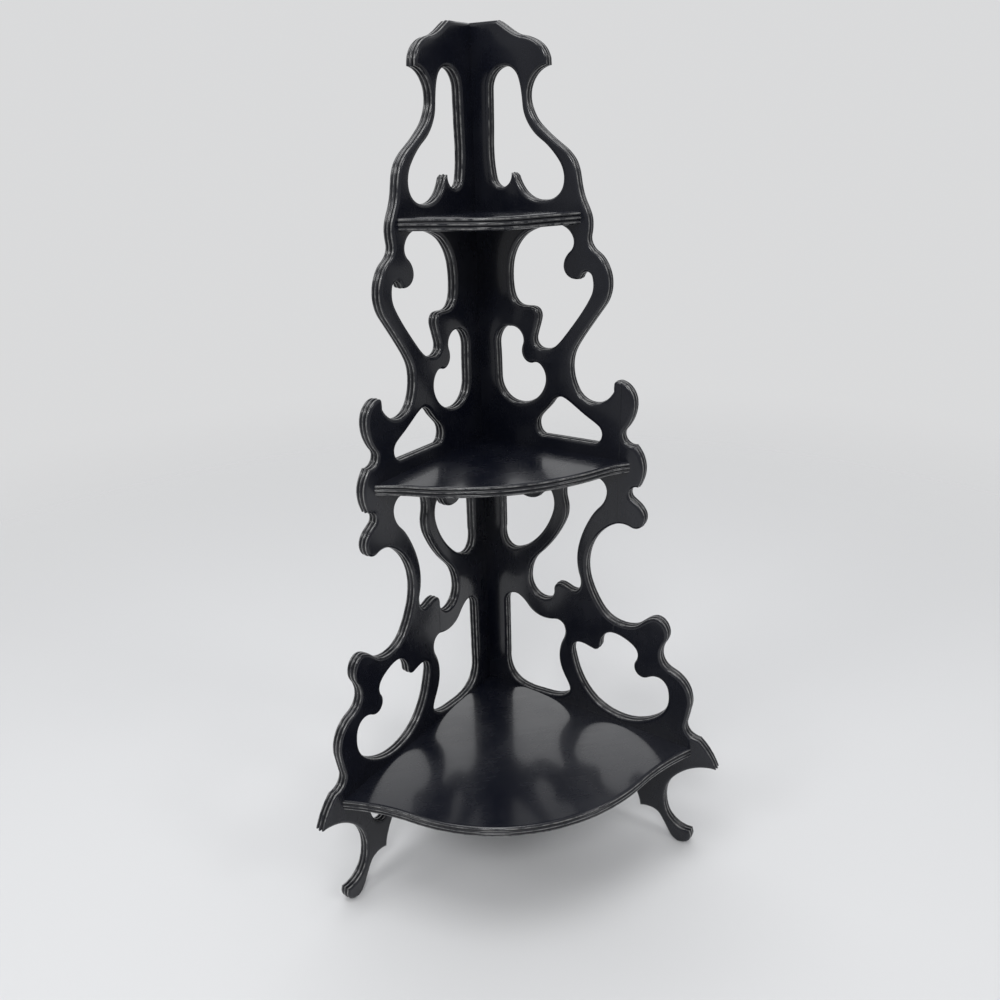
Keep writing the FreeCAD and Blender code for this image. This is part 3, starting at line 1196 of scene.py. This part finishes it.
@dataclass(frozen=True)
class BlackLacquer:
    """Black brushed lacquer on close-grained wood, rubbed along the crowns of the reeds, with a
    painted highlight there and painted shade in the grooves.
    """

    name: str
    grain_stretch: Point
    film: Colour = (0.0028, 0.0036, 0.0080, 1.0)
    film_worn: Colour = (0.0080, 0.0090, 0.0140, 1.0)
    # Near-black for the grooves between the reeds as painted shade; the same colour darkens the
    # glue line.
    hollow: Colour = (0.0015, 0.0016, 0.0022, 1.0)
    # Light grey for the crowns of the reeds: partly lacquer worn through, partly a painted
    # highlight along them.
    crown_wear_and_highlight: Colour = (0.275, 0.275, 0.270, 1.0)
    dust: Colour = (0.100, 0.100, 0.105, 1.0)
    pores: Noise = Noise(900.0, 5.0, 0.62)
    strokes: Noise = Noise(260.0, 3.0, 0.5)
    clouds: Noise = Noise(26.0, 4.0, 0.55)
    specks: Noise = Noise(1500.0, 2.0, 0.6)
    # Breaks the light grey of the crowns into patches of wear and streaks of painted highlight.
    scuff_and_highlight_noise: Noise = Noise(130.0, 6.0, 0.7)
    pore_span: Span = (0.5, 0.75)
    stroke_span: Span = (0.3, 0.7)
    worn_span: Span = (0.42, 0.72)
    dust_span: Span = (0.62, 0.8)
    scuff_and_highlight_span: Span = (0.38, 0.60)
    crown_span: Span = (0.7, 1.0)
    pore_share: float = 0.35
    # How far the crowns go to the light grey of wear and painted highlight.
    crown_wear_and_highlight_share: float = 0.8
    # How far the grooves go to the painted shade colour, and the glue line to the same dark.
    groove_shade_and_glue_line_share: float = 0.85
    dust_share: float = 0.3
    roughness_smooth: float = 0.20
    roughness_brushed: float = 0.27
    roughness_worn: float = 0.33
    roughness_hollow: float = 0.6
    roughness_rubbed: float = 0.38
    hollow_dulling: float = 0.7
    rub_dulling: float = 0.5
    pore_relief: float = 0.35
    stroke_relief: float = 0.65
    relief_strength: float = 0.3
    relief_depth: float = 0.04 * MM
    gloss: float = 0.28
    coat: float = 0.48
    coat_roughness: float = 0.12
    coat_ior: float = 1.48

    def make(self) -> bpy.types.Material:
        """Build the material.

        Returns:
            The material.
        """
        nodes, shader = start_material(self.name)
        place = nodes.attribute("board", "Vector")
        stretched = {"Vector": place, "Scale": self.grain_stretch}
        along_grain = nodes.add("ShaderNodeMapping", stretched).outputs[0]
        # The crowns of the reeds, broken up by noise, take the wear and the painted highlight.
        crown = nodes.ramp(nodes.attribute("crown", "Fac"), self.crown_span)
        scuff_and_highlight = nodes.ramp(nodes.noise(place, self.scuff_and_highlight_noise), self.scuff_and_highlight_span)
        marks = LacquerMarks(
            place=place,
            pores=nodes.noise(along_grain, self.pores),
            strokes=nodes.noise(along_grain, self.strokes),
            worn=nodes.ramp(nodes.noise(place, self.clouds), self.worn_span),
            crown_wear_and_highlight_mask=nodes.times(crown, scuff_and_highlight),
            groove=nodes.attribute("groove", "Fac"),
        )
        height = nodes.plus(
            nodes.times(marks.pores, self.pore_relief),
            nodes.times(marks.strokes, self.stroke_relief),
        )
        inputs = {
            "Base Color": self.colour(nodes, marks),
            "Roughness": self.roughness(nodes, marks),
            "Normal": nodes.relief(height, self.relief_strength, self.relief_depth),
            "Specular IOR Level": self.gloss,
            "Coat Weight": self.coat,
            "Coat Roughness": self.coat_roughness,
            "Coat IOR": self.coat_ior,
        }
        nodes.fill(shader, inputs)
        return nodes.owner

    def colour(self, nodes: NodeBuilder, marks: LacquerMarks) -> Socket:
        """Colour the film, with worn grain, light grey crowns that are part wear and part
        painted highlight, grooves darkened as painted shade, a darkened glue line and settled
        dust.

        Args:
            nodes: Builder of the material.
            marks: The patterns of the surface.

        Returns:
            Socket of the colour.
        """
        grain = nodes.times(nodes.ramp(marks.pores, self.pore_span), self.pore_share)
        crown_wear_and_highlight_mask = nodes.times(marks.crown_wear_and_highlight_mask, self.crown_wear_and_highlight_share)
        hollow = nodes.times(marks.groove, self.groove_shade_and_glue_line_share)
        specks = nodes.ramp(nodes.noise(marks.place, self.specks), self.dust_span)
        dust = nodes.times(specks, self.dust_share)
        colour = nodes.mix_colour(marks.worn, self.film, self.film_worn)
        colour = nodes.mix_colour(grain, colour, self.film_worn)
        # Crowns go light grey: worn lacquer, and a painted highlight.
        colour = nodes.mix_colour(crown_wear_and_highlight_mask, colour, self.crown_wear_and_highlight)
        # Grooves go near-black as painted shade, and the glue line goes as dark.
        colour = nodes.mix_colour(hollow, colour, self.hollow)
        return nodes.mix_colour(dust, colour, self.dust)

    def roughness(self, nodes: NodeBuilder, marks: LacquerMarks) -> Socket:
        """Dull the film where it is brushed, worn, rubbed or hollow.

        Args:
            nodes: Builder of the material.
            marks: The patterns of the surface.

        Returns:
            Socket of the roughness.
        """
        brushed = nodes.ramp(marks.strokes, self.stroke_span)
        hollow = nodes.times(marks.groove, self.hollow_dulling)
        crown_wear_and_highlight_mask = nodes.times(marks.crown_wear_and_highlight_mask, self.rub_dulling)
        rough = nodes.mix(brushed, self.roughness_smooth, self.roughness_brushed)
        rough = nodes.mix(marks.worn, rough, self.roughness_worn)
        rough = nodes.mix(hollow, rough, self.roughness_hollow)
        return nodes.mix(crown_wear_and_highlight_mask, rough, self.roughness_rubbed)


@dataclass(frozen=True)
class DullSteel:
    """Old wood screws: dull steel with darker patches."""

    name: str = "dull_screw_steel"
    bright: Colour = (0.36, 0.35, 0.33, 1.0)
    dark: Colour = (0.12, 0.105, 0.09, 1.0)
    patches: Noise = Noise(700.0, 5.0, 0.6)
    pitting: Noise = Noise(5200.0, 3.0, 0.6)
    patch_span: Span = (0.45, 0.65)
    roughness_bright: float = 0.34
    roughness_dark: float = 0.62
    pitting_strength: float = 0.4
    pitting_depth: float = 0.05 * MM

    def make(self) -> bpy.types.Material:
        """Build the material.

        Returns:
            The material.
        """
        nodes, shader = start_material(self.name)
        place = nodes.add("ShaderNodeTexCoord").outputs["Object"]
        tarnish = nodes.ramp(nodes.noise(place, self.patches), self.patch_span)
        pitting = nodes.noise(place, self.pitting)
        inputs = {
            "Base Color": nodes.mix_colour(tarnish, self.bright, self.dark),
            "Roughness": nodes.mix(tarnish, self.roughness_bright, self.roughness_dark),
            "Normal": nodes.relief(pitting, self.pitting_strength, self.pitting_depth),
            "Metallic": 1.0,
        }
        nodes.fill(shader, inputs)
        return nodes.owner


@dataclass
class FretPanel:
    """One pierced side panel, glued up from boards that meet at upright seams."""

    side: Side
    corner_y: float
    thickness: float
    boards: tuple[str, ...]
    seam: float
    glue_line_width: float = 0.46 * MM
    glue_line_depth: float = 0.11 * MM
    ear_foot_split: float = 0.27
    least_upright: float = 0.27
    sharp: float = math.radians(38)
    head_radius: float = 3.45 * MM
    shank_radius: float = 1.85 * MM
    sink: float = 0.4 * MM
    head_depth: float = 2.0 * MM
    hook_tip: tuple[float, float] = (130.0 * MM, 437.5 * MM)
    grain_lean: float = 3.0

    def space(self) -> PanelSpace:
        """The flat space of this panel."""
        return PanelSpace(self.side, self.corner_y)

    def plain(self, one: np.ndarray, two: np.ndarray) -> bool:
        """Whether a line of the outline is left without reeding.

        Args:
            one: First point of the line.
            two: Last point of the line.

        Returns:
            True on the floor and on the upright edge in the corner.
        """
        on_floor = max(one[1], two[1]) < NEAR
        upright = abs(one[1] - two[1]) > self.least_upright
        return bool(on_floor or (upright and max(one[0], two[0]) < NEAR))

    def whole(self) -> bmesh.types.BMesh:
        """Make the panel in one piece.

        Returns:
            The closed mesh of the panel.
        """
        reader = OutlineReader(self.space())
        outlines, screw_middles = reader.sorted_loops(self.boards)
        board = ReededBoard(self.space(), Reeding(self.thickness))
        for loop in outlines:
            eased = reader.ease(loop, np.array(self.hook_tip))
            board.add_loop(reader, eased, self.plain)
        seat = self.thickness - self.sink
        radii = [
            (0.0, self.shank_radius),
            (seat - self.head_depth, self.shank_radius),
            (seat, self.head_radius),
            (self.thickness, self.head_radius),
        ]
        board.holes = [RoundHole(middle, radii) for middle in screw_middles]
        return board.build()

    def score_glue_line(self, whole: bmesh.types.BMesh) -> None:
        """Sink a fine line into the surface all round the panel at its seam.

        Args:
            whole: The panel in one piece.
        """
        space, along = self.space(), self.space().outward()
        for shift in (-self.glue_line_width / 2, 0.0, self.glue_line_width / 2):
            result = bmesh.ops.bisect_plane(
                whole,
                geom=whole.verts[:] + whole.edges[:] + whole.faces[:],
                dist=ON_LINE,
                plane_co=space.place((self.seam + shift, 0.0, 0.0)),
                plane_no=along,
            )
            for part in result["geom_cut"]:
                if isinstance(part, bmesh.types.BMEdge) and shift:
                    part.seam = True
        whole.normal_update()
        on_seam = space.place((self.seam, 0.0, 0.0))
        line = [v for v in whole.verts if abs((v.co - on_seam) @ along) < ON_PLANE]
        groove = whole.verts.layers.float["groove"]
        for vert in line:
            sink = vert.normal - along * (vert.normal @ along)
            vert.co -= sink * self.glue_line_depth
            # Marking the glue line as a groove makes the lacquer darken it like the painted
            # shade in the reed grooves.
            vert[groove] = 1.0

    def cut(self, whole: bmesh.types.BMesh, outer: bool) -> bmesh.types.BMesh:
        """Take the part of the panel on one side of its seam.

        Args:
            whole: The panel in one piece.
            outer: Whether the part beyond the seam is wanted.

        Returns:
            The closed mesh of that part.
        """
        part = whole.copy()
        space, along = self.space(), self.space().outward()
        result = bmesh.ops.bisect_plane(
            part,
            geom=part.verts[:] + part.edges[:] + part.faces[:],
            dist=ON_PLANE,
            plane_co=space.place((self.seam, 0.0, 0.0)),
            plane_no=-along if outer else along,
            clear_outer=True,
        )
        rim = [e for e in result["geom_cut"] if isinstance(e, bmesh.types.BMEdge)]
        bmesh.ops.edgeloop_fill(part, edges=[e for e in rim if len(e.link_faces) == 1])
        bmesh.ops.recalc_face_normals(part, faces=part.faces)
        return part

    def build(self, material: bpy.types.Material) -> list[bpy.types.Object]:
        """Make the boards of the panel.

        Args:
            material: Finish of the wood.

        Returns:
            One piece for each board of the frame.
        """
        whole = self.whole()
        self.score_glue_line(whole)
        pieces = []
        for name in self.boards:
            low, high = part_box(name)
            flat = self.space().flat(np.array([low, high], float))
            outer = "inner" not in name
            part = self.cut(whole, outer)
            if outer and len(self.boards) > 2:
                above = "ear" in name
                drop = [v for v in part.verts if (v.co.z > self.ear_foot_split) != above]
                bmesh.ops.delete(part, geom=drop, context="VERTS")
            self.shift_grain(part, float(flat[:, 0].sum()) + low.z)
            piece = finish_mesh(part, name + "_reeded", material, self.sharp)
            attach(piece, BODY)
            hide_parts(name)
            pieces.append(piece)
        whole.free()
        return pieces

    def shift_grain(self, part: bmesh.types.BMesh, shift: float) -> None:
        """Give a board its own stretch of grain.

        Args:
            part: Mesh of the board.
            shift: How far its place in the grain is moved.
        """
        layer = part.verts.layers.float_vector["board"]
        for vert in part.verts:
            vert[layer] = vert[layer] + Vector((shift, self.grain_lean * shift, 0.0))


@dataclass
class BowShelf:
    """One shelf with a bowed front worked into three reeds."""

    node: str
    corner_y: float
    front_reed: float = 1.12 * MM
    line_step: float = 2.2 * MM
    bead_radius: float = 1.74 * MM
    outer_crown_inset: float = 0.35 * MM
    outer_crown_depth: float = 1.62 * MM
    roll: float = 2.5 * MM
    sharp: float = math.radians(38)

    def plain(self, one: np.ndarray, two: np.ndarray) -> bool:
        """Whether a line of the outline lies against a side panel.

        Args:
            one: First point of the line.
            two: Last point of the line.

        Returns:
            True along the two panels.
        """
        return all(abs(self.corner_y - y - abs(x)) < NEAR for x, y in (one[:2], two[:2]))

    def reeding(self, thickness: float) -> Reeding:
        """The reeds of the front edge, for a shelf of this thickness."""
        inset, depth = self.outer_crown_inset, self.outer_crown_depth
        return Reeding(thickness, self.bead_radius, inset, depth, self.roll)

    def build(self, material: bpy.types.Material) -> bpy.types.Object:
        """Make the shelf.

        Args:
            material: Finish of the wood.

        Returns:
            The piece.
        """
        low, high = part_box(self.node)
        thickness = high.z - low.z
        space = ShelfSpace(high.z)
        reader = OutlineReader(space, step=self.line_step)
        outlines, _ = reader.sorted_loops([self.node])
        board = ReededBoard(space, self.reeding(thickness), outset=self.front_reed)
        board.add_loop(reader, outlines[0], self.plain)
        piece = finish_mesh(board.build(), self.node + "_reeded", material, self.sharp)
        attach(piece, BODY)
        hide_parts(self.node)
        return piece


def solids_of(node: str) -> list[np.ndarray]:
    """Part the mesh of a node into its separate solids.

    Args:
        node: Name of the node.

    Returns:
        The points of each solid.
    """
    bm = bmesh.new()
    bm.from_mesh(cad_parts[node].data)
    bmesh.ops.remove_doubles(bm, verts=bm.verts, dist=SAME_PLACE)
    seen: set[bmesh.types.BMVert] = set()
    found = []
    for start in bm.verts:
        if start in seen:
            continue
        seen.add(start)
        group = [start]
        for vert in group:
            others = [edge.other_vert(vert) for edge in vert.link_edges]
            fresh = [other for other in others if other not in seen]
            seen.update(fresh)
            group += fresh
        found.append(np.array([vert.co for vert in group], float))
    bm.free()
    return found


@dataclass(frozen=True)
class ScrewPlace:
    """One screw: the middle of its head, the way out of the wood, its radius and length."""

    middle: Vector
    out: Vector
    radius: float
    length: float


@dataclass
class WoodScrews:
    """A group of slotted countersunk screws in the places of a node's plain ones."""

    node: str
    sides: int = 32
    slot_width: float = 0.9 * MM
    slot_depth: float = 0.9 * MM
    cutter_reach: float = 3.0
    head_depth: float = 2.0 * MM
    top_share: float = 0.93
    top_bevel: float = 0.15 * MM
    rim_depth: float = 0.35 * MM
    shank_share: float = 0.515
    tip: float = 3.0 * MM
    point_radius: float = 0.3 * MM
    first_turn: float = 0.7
    turn_step: float = 1.9
    level_digits: int = 4
    sharp: float = math.radians(30)

    def turned_body(self, head: float, length: float) -> bpy.types.Object:
        """Turn the round body of one screw.

        Args:
            head: Radius of the head.
            length: Length of the screw.

        Returns:
            The body, with its head at the origin and running down -Z.
        """
        shank = head * self.shank_share
        profile = (
            (head * self.top_share, 0.0),
            (head, -self.top_bevel),
            (head, -self.rim_depth),
            (shank, -self.head_depth),
            (shank, -(length - self.tip)),
            (self.point_radius, -length),
        )
        turns = [FULL_TURN * i / self.sides for i in range(self.sides)]
        bm = bmesh.new()
        rings = [
            [bm.verts.new((radius * math.cos(t), radius * math.sin(t), height)) for t in turns]
            for radius, height in profile
        ]
        bm.faces.new(rings[0])
        bm.faces.new(list(reversed(rings[-1])))
        for one, two in zip(rings, rings[1:]):
            for i in range(self.sides):
                j = (i + 1) % self.sides
                bm.faces.new((one[i], two[i], two[j], one[j]))
        bmesh.ops.recalc_face_normals(bm, faces=bm.faces)
        return as_object(bm, "screw_body")

    def template(self, head: float, length: float) -> bpy.types.Mesh:
        """Make one screw with its head at the origin, running down -Z.

        Args:
            head: Radius of the head.
            length: Length of the screw.

        Returns:
            The mesh.
        """
        body = self.turned_body(head, length)
        cutter = bmesh.new()
        size = (head * self.cutter_reach, self.slot_width, self.slot_depth * 2, 1.0)
        bmesh.ops.create_cube(cutter, size=1.0, matrix=Matrix.Diagonal(size))
        slot = as_object(cutter, "screw_slot")
        cut = body.modifiers.new("slot", "BOOLEAN")
        cut.object = slot
        cut.operation = "DIFFERENCE"
        graph = bpy.context.evaluated_depsgraph_get()
        made = bpy.data.meshes.new_from_object(body.evaluated_get(graph))
        for piece in (body, slot):
            bpy.data.objects.remove(piece)
        return made

    def driven(self, points: np.ndarray, side: Side) -> ScrewPlace:
        """Take a solid as a screw that is driven in through the panel of one side.

        Args:
            points: Points of the solid.
            side: The panel.

        Returns:
            The screw.
        """
        out = np.array([side.value * HALF, HALF, 0.0])
        depths = points @ out
        head = points[depths > depths.max() - NEAR]
        middle = head.mean(axis=0)
        radius = float(np.linalg.norm(head - middle, axis=1).max())
        return ScrewPlace(Vector(middle), Vector(out), radius, float(np.ptp(depths)))

    def places(self) -> list[ScrewPlace]:
        """Find the screws of the node, each driven in the way that it is longest.

        Returns:
            The screws from the floor up, and from left to right.
        """
        found = []
        for points in solids_of(self.node):
            ways = [self.driven(points, side) for side in Side]
            found.append(max(ways, key=lambda way: way.length))
        digits = self.level_digits
        return sorted(found, key=lambda one: (round(one.middle.z, digits), one.middle.x))

    def build(self, material: bpy.types.Material) -> bpy.types.Object:
        """Make the group of screws.

        Args:
            material: Finish of the steel.

        Returns:
            The piece.
        """
        bm = bmesh.new()
        places = self.places()
        template = self.template(places[0].radius, places[0].length)
        up = Vector((0.0, 0.0, 1.0))
        for number, place in enumerate(places):
            tilt = up.rotation_difference(place.out).to_matrix().to_4x4()
            spin = Matrix.Rotation(self.first_turn + self.turn_step * number, 4, "Z")
            before = len(bm.verts)
            bm.from_mesh(template)
            bm.verts.ensure_lookup_table()
            matrix = Matrix.Translation(place.middle) @ tilt @ spin
            bmesh.ops.transform(bm, matrix=matrix, verts=bm.verts[before:])
        piece = finish_mesh(bm, self.node + "_slotted", material, self.sharp)
        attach(piece, BODY)
        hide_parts(self.node)
        return piece


def turn_about(axis: int, degrees: float) -> np.ndarray:
    """Matrix of a turn about one axis.

    Args:
        axis: Number of the axis.
        degrees: How far it turns.

    Returns:
        The three rows of the matrix.
    """
    angle = math.radians(degrees)
    one, two = (other for other in range(3) if other != axis)
    matrix = np.eye(3)
    matrix[one, one] = matrix[two, two] = math.cos(angle)
    matrix[one, two] = -math.sin(angle)
    matrix[two, one] = math.sin(angle)
    return matrix


@dataclass(frozen=True)
class Lamp:
    """One soft square lamp: its name, where it hangs, the length of its sides, its power."""

    name: str
    place: Point
    size: float
    watts: float


@dataclass
class Studio:
    """The camera, the pale floor and the soft lights."""

    eye: Point = (-0.11523, -0.61365, 0.61211)
    yaw: float = 10.25
    pitch: float = 22.89
    roll: float = -1.47
    focal_pixels: float = 830.0
    image_pixels: float = 1000.0
    sensor: float = 36.0
    clip: Span = (0.01, 50.0)
    floor_size: float = 8.0
    floor_parts: int = 8
    floor_colour: Colour = (0.635, 0.64, 0.65, 1.0)
    floor_roughness: float = 0.75
    floor_gloss: float = 0.2
    floor_fade: Span = (0.45, 1.7)
    air: Colour = (0.985, 0.99, 1.0, 1.0)
    front_level: float = 0.41
    back_level: float = 0.71
    window_level: float = 1.7
    top_level: float = 0.30
    back_span: Span = (-0.1, 0.55)
    under_top_span: Span = (0.72, 0.60)
    window_span: Span = (0.42, 0.56)
    top_span: Span = (0.75, 1.0)
    aim: Point = (0.0, 0.05, 0.32)
    lamps: tuple[Lamp, ...] = (
        Lamp("overhead", (-0.2, -0.2, 2.0), 0.9, 11.5),
        Lamp("front", (-0.45, -1.55, 1.8), 0.5, 13.5),
        Lamp("soft_left", (-1.6, -0.6, 1.8), 0.55, 7.0),
        Lamp("soft_right", (1.4, -1.1, 1.7), 0.5, 6.0),
    )

    def camera(self) -> None:
        """Set the camera at the photograph's angle."""
        level = np.array([[1, 0, 0], [0, 0, -1], [0, 1, 0]])
        lean, tilt = turn_about(2, self.roll), turn_about(0, self.pitch)
        right, down, forward = lean @ tilt @ level @ turn_about(2, self.yaw)
        lens = bpy.data.cameras.new("camera")
        lens.sensor_width = self.sensor
        lens.sensor_fit = "HORIZONTAL"
        lens.lens = self.focal_pixels / self.image_pixels * self.sensor
        lens.clip_start, lens.clip_end = self.clip
        holder = bpy.data.objects.new("camera", lens)
        turn = Matrix((right, -down, -forward)).transposed().to_4x4()
        holder.matrix_world = Matrix.Translation(self.eye) @ turn
        bpy.context.scene.collection.objects.link(holder)
        bpy.context.scene.camera = holder

    def floor(self) -> None:
        """Lay the pale floor, which fades into the backdrop far from the shelf."""
        bm = bmesh.new()
        parts = self.floor_parts
        bmesh.ops.create_grid(bm, x_segments=parts, y_segments=parts, size=self.floor_size / 2)
        floor = as_object(bm, "floor")
        nodes, shader = start_material("pale_floor")
        inputs = {
            "Base Color": self.floor_colour,
            "Roughness": self.floor_roughness,
            "Specular IOR Level": self.floor_gloss,
        }
        nodes.fill(shader, inputs)
        place = nodes.add("ShaderNodeTexCoord").outputs["Object"]
        away = nodes.add("ShaderNodeVectorMath", {0: place}, operation="LENGTH")
        fade = nodes.ramp(away.outputs["Value"], self.floor_fade, "SMOOTHSTEP")
        clear = nodes.add("ShaderNodeBsdfTransparent").outputs[0]
        mixed = nodes.add("ShaderNodeMixShader", {0: fade, 1: shader.outputs[0], 2: clear})
        output = nodes.owner.node_tree.nodes["Material Output"]
        nodes.fill(output, {"Surface": mixed.outputs[0]})
        floor.data.materials.append(nodes.owner)

    def world(self) -> None:
        """Light the scene softly from all round, most from the back, where it is pale."""
        world = bpy.data.worlds.new("studio")
        bpy.context.scene.world = world
        world.use_nodes = True
        world.node_tree.nodes.clear()
        nodes = NodeBuilder(world)
        way = nodes.add("ShaderNodeTexCoord").outputs["Generated"]
        parts = nodes.add("ShaderNodeSeparateXYZ", {0: way})
        height = parts.outputs["Z"]
        from_back = nodes.ramp(parts.outputs["Y"], self.back_span)
        under_top = nodes.ramp(height, self.under_top_span)
        window = nodes.times(nodes.ramp(height, self.window_span), self.window_level)
        back = nodes.plus(window, self.back_level - self.front_level)
        back = nodes.times(nodes.times(back, under_top), from_back)
        top = nodes.times(nodes.ramp(height, self.top_span), self.top_level)
        level = nodes.plus(nodes.plus(back, top), self.front_level)
        air = nodes.add("ShaderNodeBackground", {"Color": self.air, "Strength": level})
        nodes.add("ShaderNodeOutputWorld", {"Surface": air.outputs[0]})

    def hang(self, lamp: Lamp) -> None:
        """Hang one lamp that points at the shelf.

        Args:
            lamp: The lamp.
        """
        light = bpy.data.lights.new(lamp.name, "AREA")
        light.shape = "SQUARE"
        light.size = lamp.size
        light.energy = lamp.watts
        holder = bpy.data.objects.new(lamp.name, light)
        holder.location = Vector(lamp.place)
        aim = Vector(self.aim) - holder.location
        holder.rotation_euler = aim.to_track_quat("-Z", "Y").to_euler()
        bpy.context.scene.collection.objects.link(holder)

    def build(self) -> None:
        """Set up the camera, the floor, the world and the lamps."""
        self.camera()
        self.floor()
        self.world()
        for lamp in self.lamps:
            self.hang(lamp)
        bpy.context.scene.view_settings.view_transform = "Standard"


def seam_of(side: Side, node: str, corner_y: float) -> float:
    """Reach of a board from the corner, where its glue line is.

    Args:
        side: The panel.
        node: Name of the inner board.
        corner_y: Where the corner line stands.

    Returns:
        Distance of the seam from the corner.
    """
    points = np.array([v.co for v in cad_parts[node].data.vertices], float)
    return float(PanelSpace(side, corner_y).flat(points)[:, 0].max())


def report(piece: bpy.types.Object) -> None:
    """Log the name of a piece and how many faces it has."""
    LOG.info("%s: %d faces", piece.name, len(piece.data.polygons))


def main() -> None:
    """Build the looks of the shelf round the frame."""
    logging.basicConfig(level=logging.INFO, format="%(name)s: %(message)s")
    left_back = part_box("left_inner_board")[1].y
    right_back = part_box("right_inner_board")[1].y
    thickness = (right_back - left_back) / HALF
    corner_y = left_back - thickness * HALF
    LOG.info("thickness %.2f mm, corner at y %.2f mm", thickness / MM, corner_y / MM)

    upright = BlackLacquer("black_lacquer_upright", (1.0, GRAIN_STRETCH, 1.0)).make()
    level = BlackLacquer("black_lacquer_level", (GRAIN_STRETCH, 1.0, 1.0)).make()
    steel = DullSteel().make()

    panels = {
        Side.LEFT: ("left_inner_board", "left_outer_board"),
        Side.RIGHT: ("right_inner_board", "right_ear_board", "right_foot_board"),
    }
    for side, boards in panels.items():
        seam = seam_of(side, boards[0], corner_y)
        for piece in FretPanel(side, corner_y, thickness, boards, seam).build(upright):
            report(piece)
    shelves = ("top_shelf", "middle_shelf", "bottom_shelf")
    for node in shelves:
        report(BowShelf(node, corner_y).build(level))
    for held in (*shelves, "corner"):
        report(WoodScrews(held + "_screws").build(steel))
    Studio().build()


if __name__ == "__main__":
    main()
